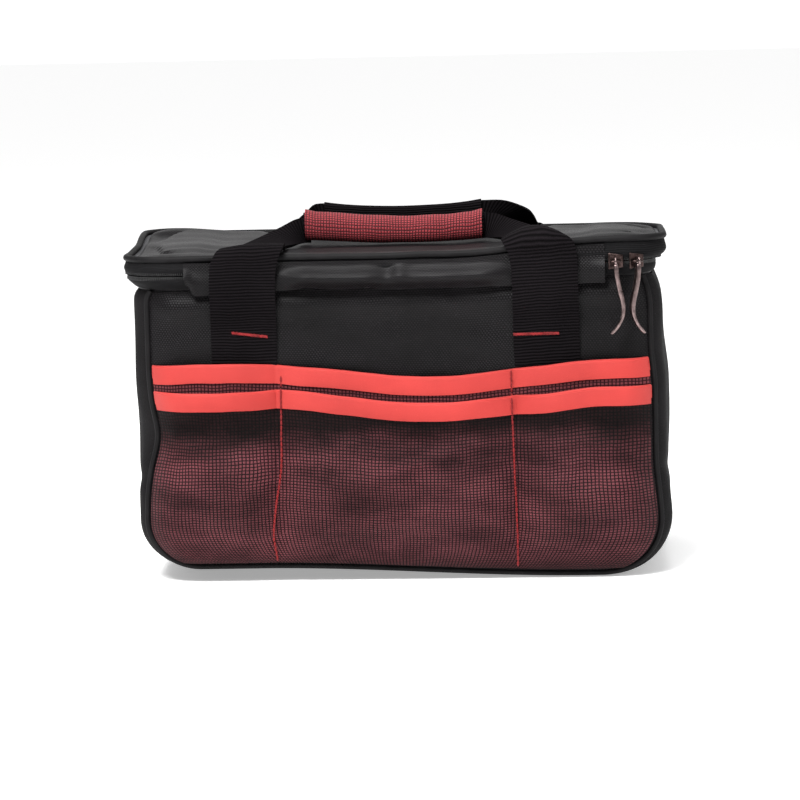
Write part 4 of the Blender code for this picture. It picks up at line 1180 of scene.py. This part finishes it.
# %% [markdown]
# ## Stiffening
# Between nylon and lining each wall holds a sheet of closed-cell foam, and a thin board lies in
# the base. They are cut slabs: a grid is laid over the middle of the slab's box, settled with the
# cloth round it and given its thickness.

# %% Foam and board
SLAB_PITCH = 0.007


def slab(node, slot, thin):
    """A cut slab in the place of a node; thin is the axis of its thickness."""
    low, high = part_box(node)
    wide, tall = [axis for axis in range(3) if axis != thin]
    size = (high[wide] - low[wide], high[tall] - low[tall])

    def place(across, up):
        spot = (low + high) / 2
        spot[wide] = low[wide] + size[0] * across
        spot[tall] = low[tall] + size[1] * up
        return settle(spot)

    columns, rows = (int(length / SLAB_PITCH) for length in size)
    sheet = cloth_grid(f"{node}_slab", columns, rows, place, size)
    dress(thicken(sheet, high[thin] - low[thin], offset=0), slot, "bag", node)


for node, thin in (("front_foam", 1), ("back_foam", 1), ("left_foam", 0), ("right_foam", 0)):
    slab(node, "foam", thin)
slab("base_board", "base_board", 2)

# %% [markdown]
# ## Storm flap
# A doubled strip of nylon is sewn in with the front piping of the lid and hangs over the zip. It
# bulges below the seam, puckers where it has been folded and its lower edge waves.

# %% Flap over the zip
FLAP_LEFT, FLAP_RIGHT = -0.1276, 0.1280
FLAP_TOP = 0.2012
# Height of the lower edge at even steps from the left end, and how far out each height hangs
FLAP_LOWS = mm((
    181.2, 181.8, 183.2, 184.2, 183.6, 183.4, 183.7, 183.2, 182, 180.5, 180.4,
))
FLAP_PROFILE = mm((
    -0.3, -0.3, 0.4, 2.2, 4.6, 6, 6, 4.6, 2.4, 0.2,
))
# Place (x, z), width and depth of each pucker
PUCKERS = mm((
    (-4, 193.5, 5.5, -1.6), (4, 194.5, 4.5, 1.6), (-52, 186.2, 6, 1.2), (-16, 187, 6, 1.2),
    (30, 190, 10, 0.8), (-122, 188, 6, 1),
))


def flap_point(across, up):
    x = FLAP_LEFT + (FLAP_RIGHT - FLAP_LEFT) * across
    notch = 0.0012 * (bell(x, -0.052, 0.006) + bell(x, -0.016, 0.006))
    end = 0.0062 * smooth((-x - 0.1215) / 0.0050)
    low = curve_through(FLAP_LOWS, across) + 0.0004 * ripple((x, 0, 0), 45, 2) + notch + end
    z = FLAP_TOP + (low - FLAP_TOP) * (1 - up)
    out = curve_through(FLAP_PROFILE, 1 - up) * (1 - 0.45 * smooth((abs(x) - 0.108) / 0.012))
    for centre, height, width, depth in PUCKERS:
        out += depth * bell(math.hypot(x - centre, z - height), 0.0, width)
    out += (1 - up) * 0.0006 * ripple((x, z, 0), 30, 8)
    out *= 1 - 0.74 * smooth(1 - (abs(abs(x) - 0.0920) - 0.0190) / 0.020)
    return settle((x, -ZIP_HALF_DEPTH - max(out, -0.0004), z))


flap = thicken(cloth_grid("storm_flap_cloth", 220, 28, flap_point, (0.256, 0.020)), 0.0010)
dress(flap, "black_nylon", "lid", "zip_flap")

# %% [markdown]
# ## Webbing of the handles
# Each handle is one length of 40 mm webbing. It is sewn up the bag, folds over the lid's edge and
# turns on its edge as it reaches the grip. Two edge lines are enough to describe that: the cloth
# between them is ruled, crowned a little at the fold, and mapped by its true length so that the
# ribs of the weave stay evenly spaced.


# %% Route of the webbing
WEBBING_WIDTH = 0.040
WEBBING_PITCH = 0.0022
WEBBING_COLUMNS = 14
FINE_STEPS = 300


def webbing_strip(name, side, face, rows, thickness=0.0020):
    """Each row is inner x, outer x, y, inner z, outer z and the crown between the two edges."""
    inners, outers, crowns = [], [], []
    for inner_x, outer_x, y, inner_z, outer_z, crown in rows:
        inners.append(Vector((side * inner_x, y, inner_z)))
        outers.append(Vector((side * outer_x, y, outer_z)))
        crowns.append(crown)
    fine = [[curve_through(line, step / FINE_STEPS) for line in (inners, outers, crowns)]
            for step in range(FINE_STEPS + 1)]
    heads, travel = [], [0.0]
    for before, after in zip(fine, fine[1:]):
        heads.append((after[0] + after[1] - before[0] - before[1]) / 2)
        travel.append(travel[-1] + heads[-1].length)
    length, flip = travel[-1], side * -face

    def place(across, along):
        want = along * length
        index = 0
        while index < FINE_STEPS - 1 and travel[index + 1] < want:
            index += 1
        part = (want - travel[index]) / max(travel[index + 1] - travel[index], 1e-9)
        inner, outer, crown = (low + (high - low) * min(part, 1.0)
                               for low, high in zip(fine[index], fine[index + 1]))
        share = across if flip > 0 else 1 - across
        outwards = (outer - inner).cross(heads[index]).normalized() * flip
        spot = inner.lerp(outer, share) + outwards * crown * (1 - (2 * share - 1) ** 2)
        return settle(spot + outwards * 0.00035 * ripple(spot, 60, side * 3))

    count = max(int(length / WEBBING_PITCH), 8)
    strip = cloth_grid(name, WEBBING_COLUMNS, count, place, (WEBBING_WIDTH, length))
    print(name, "is", round(length, 3), "m long")
    return thicken(strip, thickness, offset=0)


FRONT_ROWS = mm((
    (72.6, 112, -93.6, 131.8, 131.8, 0), (72.2, 112, -94.3, 142, 142, 0),
    (72, 112, -94.9, 152, 152, 0), (72, 112, -95.3, 160, 160, 0), (71.9, 111.9, -99, 172, 172, 0),
    (71.8, 111.8, -101.2, 184, 184, 0), (71.4, 111.6, -101.5, 193, 193, 0),
    (70.3, 111, -101.8, 200.5, 200, 0.3), (68.2, 108.5, -102, 206.8, 205.8, 0.8),
    (66.2, 105.2, -98.8, 210.6, 209, 1.4), (66, 103, -91, 210.8, 209, 1.2),
    (67, 102, -77, 208.2, 207.4, 0.6), (68, 97.5, -62, 207, 207.2, 0.6),
    (66.5, 90, -52, 206.7, 209.8, 0.8), (62.5, 74, -38.5, 206.6, 216.5, 0.8),
    (59, 64, -30, 206.6, 221.4, 0.4), (54.5, 54.5, -28.2, 206.6, 222.8, 0),
))
for word, side in (("left", -1), ("right", 1)):
    rows = []
    for inner_x, outer_x, y, inner_z, outer_z, crown in FRONT_ROWS:
        if side > 0:
            loop = bell(y, -0.094, 0.016) * smooth((inner_z - 0.200) / 0.010)
            inner_z -= 0.0020 * loop
            outer_z -= 0.0024 * loop
            crown += 0.0058 * loop
            tuck = 0.0030 * smooth((y + 0.045) / 0.015)
            inner_x -= tuck
            outer_x -= tuck
        rows.append((inner_x, outer_x, y, inner_z, outer_z, crown))
    strip = webbing_strip(f"front_{word}_handle_webbing", side, -1, rows)
    dress(strip, "black_webbing", None, f"front_{word}_strap", f"front_{word}_webbing")
    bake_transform(strip)

# %% Rear webbing
LEFT_SQUEEZE = 0.009
LEFT_TUCK = 0.0055
RIGHT_TUCK = 0.0065
REAR_STRAP_ROWS = mm((
    (73.5, 113.5, 94.6, 131.8, 131.8, 0), (73.5, 113.5, 94.8, 142, 142, 0),
    (73.5, 113.5, 95, 152.5, 152.5, 0), (73.5, 113.5, 96.2, 163, 163, 0),
    (73.5, 113.5, 97.6, 174, 174, 0), (73.3, 112, 98.6, 184, 183.5, 0.2),
    (72.2, 104, 99.2, 194, 193, 0.6), (70, 93, 99.4, 203.5, 202.5, 1),
))
REAR_FREE_ROWS = mm((
    (70, 93, 99.4, 203.5, 202.5, 1), (68.5, 88.5, 98.2, 205.6, 205, 0.8),
    (67, 86.5, 94, 206.6, 206.2, 0.4), (65.8, 85.5, 87, 207, 206.8, 0.2),
    (64.5, 85, 79, 207.4, 207.8, 0.2), (63, 84.5, 70, 207.8, 209.6, 0.4),
    (61.2, 83, 61, 208.4, 212.6, 0.8), (59.2, 78, 53, 209, 217.6, 0.8),
    (57.2, 68, 47.5, 209.8, 223.2, 0.4), (55.2, 56.2, 45, 209.8, 224.2, 0),
))


def rear_rows(side, rows):
    """Drawn in where the grip begins; the left one also where it passes over the lid's edge."""
    made = []
    for inner_x, outer_x, y, inner_z, outer_z, crown in rows:
        if side < 0:
            squeeze = smooth((outer_z - 0.185) / 0.018) * smooth((outer_x - 0.058) / 0.02)
            outer_x -= LEFT_SQUEEZE * squeeze
            tuck = LEFT_TUCK * smooth((0.0700 - inner_x) / 0.012)
        else:
            tuck = RIGHT_TUCK * smooth((0.0592 - inner_x) / 0.004)
        made.append((inner_x - tuck, outer_x - tuck, y, inner_z, outer_z, crown))
    return made


for word, side in (("left", -1), ("right", 1)):
    strip = webbing_strip(f"rear_{word}_strap_webbing", side, 1, rear_rows(side, REAR_STRAP_ROWS))
    dress(strip, "black_webbing", None, f"rear_{word}_strap")
    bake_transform(strip)
    strip = webbing_strip(f"rear_{word}_handle_webbing", side, 1, rear_rows(side, REAR_FREE_ROWS),
                          thickness=0.0017)
    dress(strip, "black_webbing", None, f"rear_{word}_webbing")
    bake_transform(strip)

# %% [markdown]
# ## Grips
# The front grip is webbing folded double inside a sleeve of coarse red and black weave, gathered
# at its flared ends and pressed thinner in the middle by hands. The rear grip is the folded
# webbing alone.


# %% Front grip
GRIP_HALF = 0.0550
FRONT_GRIP_Y, FRONT_GRIP_FOOT = -0.0280, 0.2054
REAR_GRIP_Y, REAR_GRIP_FOOT = 0.0450, 0.2085
SQUARENESS = 0.84


def signed_power(value, power):
    return math.copysign(abs(value) ** power, value)


def grip_point(along, around, tall, depth):
    """Around a flattened tube along X, from its foot up the front, over the top and down."""
    x = (2 * along - 1) * GRIP_HALF - 0.0027
    end = abs(2 * along - 1)
    left = smooth(1 - 1.6 * along)
    flare = smooth((end - 0.86) / 0.14)
    half_tall = tall + 0.0003 * end**2.2 + 0.0005 * flare + 0.0004 * left
    turn = 4 * QUARTER * around
    y = signed_power(-math.sin(turn), SQUARENESS) * (depth + 0.0007 * flare)
    z = signed_power(-math.cos(turn), SQUARENESS) * half_tall
    uneven = 1 + 0.05 * ripple((x, y, z), 70, 4)
    foot = FRONT_GRIP_FOOT + 0.0013 * end**2 + 0.0016 * left
    return Vector((x, FRONT_GRIP_Y + y * uneven, foot + half_tall + z * uneven))


def sleeve_point(along, around):
    return settle(grip_point(along, around, 0.0084, 0.0062))


def core_point(along, around):
    spot = grip_point(along, around, 0.0066, 0.0040)
    return settle((spot.x * 1.02, spot.y, spot.z + 0.0016))


def cap_ends():
    bpy.ops.mesh.select_all(action="DESELECT")
    bpy.ops.mesh.select_non_manifold()
    bpy.ops.mesh.edge_face_add()


sleeve = cloth_grid("front_grip_sleeve_cloth", 60, 44, sleeve_point, (0.110, 0.0528))
core = cloth_grid("front_grip_core_webbing", 40, 24, core_point, (0.112, 0.034))
for tube in (sleeve, core):
    apply_modifier(tube, "WELD", merge_threshold=WELD)
edit(core, cap_ends)
dress(thicken(sleeve, 0.0017), "woven_sleeve", "front_handle", "front_grip_sleeve")
dress(core, "black_webbing", "front_handle", "front_grip_core")


# %% Rear grip
def rear_grip_point(along, around):
    """Folded webbing, with the fold on top: up the front layer, over and down the back one."""
    end = abs(2 * along - 1)
    x = (2 * along - 1) * (GRIP_HALF + 0.0012) + LEFT_TUCK * (1 - along) - RIGHT_TUCK * along
    top = 0.2218 + 0.0036 * end**2.4 + 0.0004 * ripple((x, 0, 0), 30, 3)
    half_deep = 0.0027 + 0.0002 * ripple((x, 1, 0), 40, 5)
    leg = top - half_deep - REAR_GRIP_FOOT
    bend = 2 * QUARTER * half_deep
    path = around * (2 * leg + bend)
    if path < leg:
        ahead, z = -half_deep, REAR_GRIP_FOOT + path
    elif path < leg + bend:
        turn = (path - leg) / half_deep
        ahead, z = -half_deep * math.cos(turn), top - half_deep + half_deep * math.sin(turn)
    else:
        ahead, z = half_deep, top - half_deep - (path - leg - bend)
    lean = 0.0006 * ripple((x, z, 0), 50, 7)
    return settle((x, REAR_GRIP_Y + ahead + lean, z))


fold = cloth_grid("rear_grip_webbing", 50, 40, rear_grip_point, (0.112, 0.040))
dress(thicken(fold, 0.0020), "black_webbing", "rear_handle", "rear_grip_fold")

# %% [markdown]
# ## Bar tacks
# A bar tack is a short, very dense zigzag of red thread that takes the load of the handle. Each
# pass of the needle is one stitch lying nearly upright, and the bar slopes as the machine left it.


# %% Tack stitches
TACK_PITCH = 0.00042
TACK_STITCH = 0.0019
TACK_THREAD = 0.00034
TACK_OUT = 0.0966


def tack_bar(word, face, ends):
    """The ends are x, z, x, z of the bar; the cloth under it lies flat."""
    start, end = Vector(ends[:2]), Vector(ends[2:])
    count = int((end - start).length / TACK_PITCH)
    turn = Matrix.Rotation((1 + face) * QUARTER, 4, "Z")
    places = []
    for index in range(count + 1):
        x, z = start.lerp(end, index / count)
        z += 0.0002 * ripple((index * 0.37, 0, 0), 1.0, 3)
        lean = Matrix.Rotation(-0.12 if index % 2 == 0 else 0.30, 4, "Y")
        places.append(Matrix.Translation(settle((x, face * TACK_OUT, z))) @ turn @ lean)
    bar = repeat(f"{word}_thread", thread_stitch(TACK_STITCH, TACK_THREAD), places)
    dress(bar, "red_thread", "bag", word)


for word, face, ends in (("front_left_tack", -1, (-0.0990, 0.1575, -0.0778, 0.1548)),
                         ("front_right_tack", -1, (0.0722, 0.1519, 0.0994, 0.1508)),
                         ("rear_left_tack", 1, (-0.1050, 0.1508, -0.0800, 0.1514)),
                         ("rear_right_tack", 1, (0.0800, 0.1512, 0.1060, 0.1506))):
    tack_bar(word, face, ends)

# %% [markdown]
# ## Sliders and pulls
# A slider is two die-cast plates joined at the nose, with a small staple on top that the pull
# hangs from. The plates start as cubes, are bevelled and inset. The long pull is a bar, cut
# across many times and bent into a shallow wave; a torus makes its eye.


# %% Slider body
def apply_place(piece):
    bpy.ops.object.transform_apply(location=True, rotation=True, scale=True)
    return piece


def add_bar(name, place, size, bevel, cuts=0):
    """A cube at its place and size, cut across its height if asked, with bevelled edges."""
    piece = apply_place(start_shape("cube", size=1, location=place, scale=size))
    apply_modifier(piece, "BEVEL", width=bevel, segments=3, limit_method="ANGLE")
    cut_across(piece, [place[2] + size[2] * (cut / cuts - 0.5) for cut in range(1, cuts)])
    return rename(piece, name)


def join_all(name, pieces):
    only(pieces[0])
    for piece in pieces:
        piece.select_set(True)
    bpy.ops.object.join()
    return rename(bpy.context.active_object, name)


BAR_OUT = 0.0047
STAPLE = 0.0006
PLATE_FACE = 0.0012
ARCH_STEPS = 12


def slider_model():
    front_plate = add_bar("front_plate", (0, -0.0009, 0), (0.0090, 0.0012, 0.0098), 0.0005)
    for point in front_plate.data.vertices:
        point.co.z *= 1 - 0.22 * smooth((point.co.x + 0.001) / 0.0055)
    edit(front_plate, partial(bpy.ops.mesh.select_all, action="DESELECT"))
    for face in front_plate.data.polygons:
        face.select = face.normal.y < -0.95 and face.area > 1e-5
    bpy.ops.object.mode_set(mode="EDIT")
    bpy.ops.mesh.inset(thickness=0.0012, depth=-0.0003)
    bpy.ops.object.mode_set(mode="OBJECT")
    back_plate = add_bar("back_plate", (0, 0.0042, 0), (0.0088, 0.0010, 0.0092), 0.0004)
    nose = add_bar("nose", (0.0036, 0.0018, 0), (0.0016, 0.0050, 0.0014), 0.0003)
    arch = []
    for step in range(ARCH_STEPS + 1):
        turn = 2 * QUARTER * step / ARCH_STEPS
        out = PLATE_FACE + (BAR_OUT - PLATE_FACE) * math.sin(turn) ** 0.5
        arch.append(Vector((-0.0030 * signed_power(math.cos(turn), 0.5), -out, 0)))
    return join_all("slider", [front_plate, back_plate, nose, cord_piece("staple", arch, STAPLE)])


# %% Wave-shaped pull
PULL_WAVE = ((0.0, 0.0), (0.20, 0.16), (0.38, 0.50), (0.58, 0.98), (0.74, 0.92), (0.89, 0.22),
             (1.0, -0.80))
PULL_LENGTH = 0.0438
PULL_SWEEP = 0.0042
PULL_TOP = 0.0016
WAVE_STEP = 0.02


def wave_at(share):
    """Height of the wave at a share of the pull's length, smooth through uneven steps."""
    index = 0
    while index < len(PULL_WAVE) - 2 and PULL_WAVE[index + 1][0] < share:
        index += 1
    low, high = PULL_WAVE[index], PULL_WAVE[index + 1]
    width, change = high[0] - low[0], high[1] - low[1]
    part = clamp((share - low[0]) / width)
    before = PULL_WAVE[max(index - 1, 0)]
    after = PULL_WAVE[min(index + 2, len(PULL_WAVE) - 1)]
    first = (high[1] - before[1]) / (high[0] - before[0]) * width
    last = (after[1] - low[1]) / (after[0] - low[0]) * width
    bend = 3 * change - 2 * first - last + part * (first + last - 2 * change)
    return low[1] + part * (first + part * bend)


def pull_model(hand):
    length = PULL_LENGTH - PULL_TOP
    bar = add_bar("bar", (0, 0, -PULL_TOP - length / 2), (0.0024, 0.0050, length), 0.0008, 44)
    for point in bar.data.vertices:
        share = -point.co.z / PULL_LENGTH
        point.co.y *= 1 - 0.35 * (smooth((0.12 - share) / 0.12) + smooth((share - 0.80) / 0.20))
        point.co.x *= 1.1 - 0.55 * smooth((share - 0.55) / 0.45)
        rise = wave_at(min(share + WAVE_STEP, 1.0)) - wave_at(max(share - WAVE_STEP, 0.0))
        point.co.z += point.co.x * hand * rise / (2 * WAVE_STEP) * PULL_SWEEP / PULL_LENGTH
        point.co.x += hand * PULL_SWEEP * wave_at(share)
    eye = start_shape("torus", major_radius=0.0021, minor_radius=0.0008, major_segments=24,
                      minor_segments=10, rotation=(0, QUARTER, 0))
    return join_all("pull", [bar, apply_place(eye)])


# %% Sliders and pulls in their places
RIGHT_TURN = math.radians(19)
RIGHT_PLACE = (ZIP_HALF_WIDTH - ZIP_CORNER + ZIP_CORNER * math.sin(RIGHT_TURN),
               -ZIP_HALF_DEPTH + ZIP_CORNER * (1 - math.cos(RIGHT_TURN)), ZIP_HEIGHT)
for word, place, turn, hand in (("left", (0.1346, -ZIP_HALF_DEPTH, ZIP_HEIGHT), 0.0, 1),
                                ("right", RIGHT_PLACE, RIGHT_TURN, -1)):
    stand = Matrix.Translation((*place[:2], settle(place).z)) @ Matrix.Rotation(turn, 4, "Z")
    body = repeat(f"{word}_slider_body", slider_model(), [stand])
    dress(body, "slider_metal", f"{word}_zip_slider", f"{word}_slider")
    hang = stand @ Matrix.Translation((0, -BAR_OUT, 0))
    pull = repeat(f"{word}_wave_pull", pull_model(hand), [hang])
    dress(pull, "pull_metal", f"{word}_zip_pull", f"{word}_pull")

# %% [markdown]
# ## Floor and its finish
# A large near-white floor stands for the plain background.

# %% Floor and finish
floor = rename(start_shape("plane", size=30, location=(0, 0, 0)), "studio_floor")
PAPER = {"Base Color": (0.9, 0.9, 0.9, 1), "Emission Color": (1, 1, 1, 1),
         "Emission Strength": 0.36}
floor.data.materials.append(start_finish("studio_paper", 0.9, **PAPER)[0])
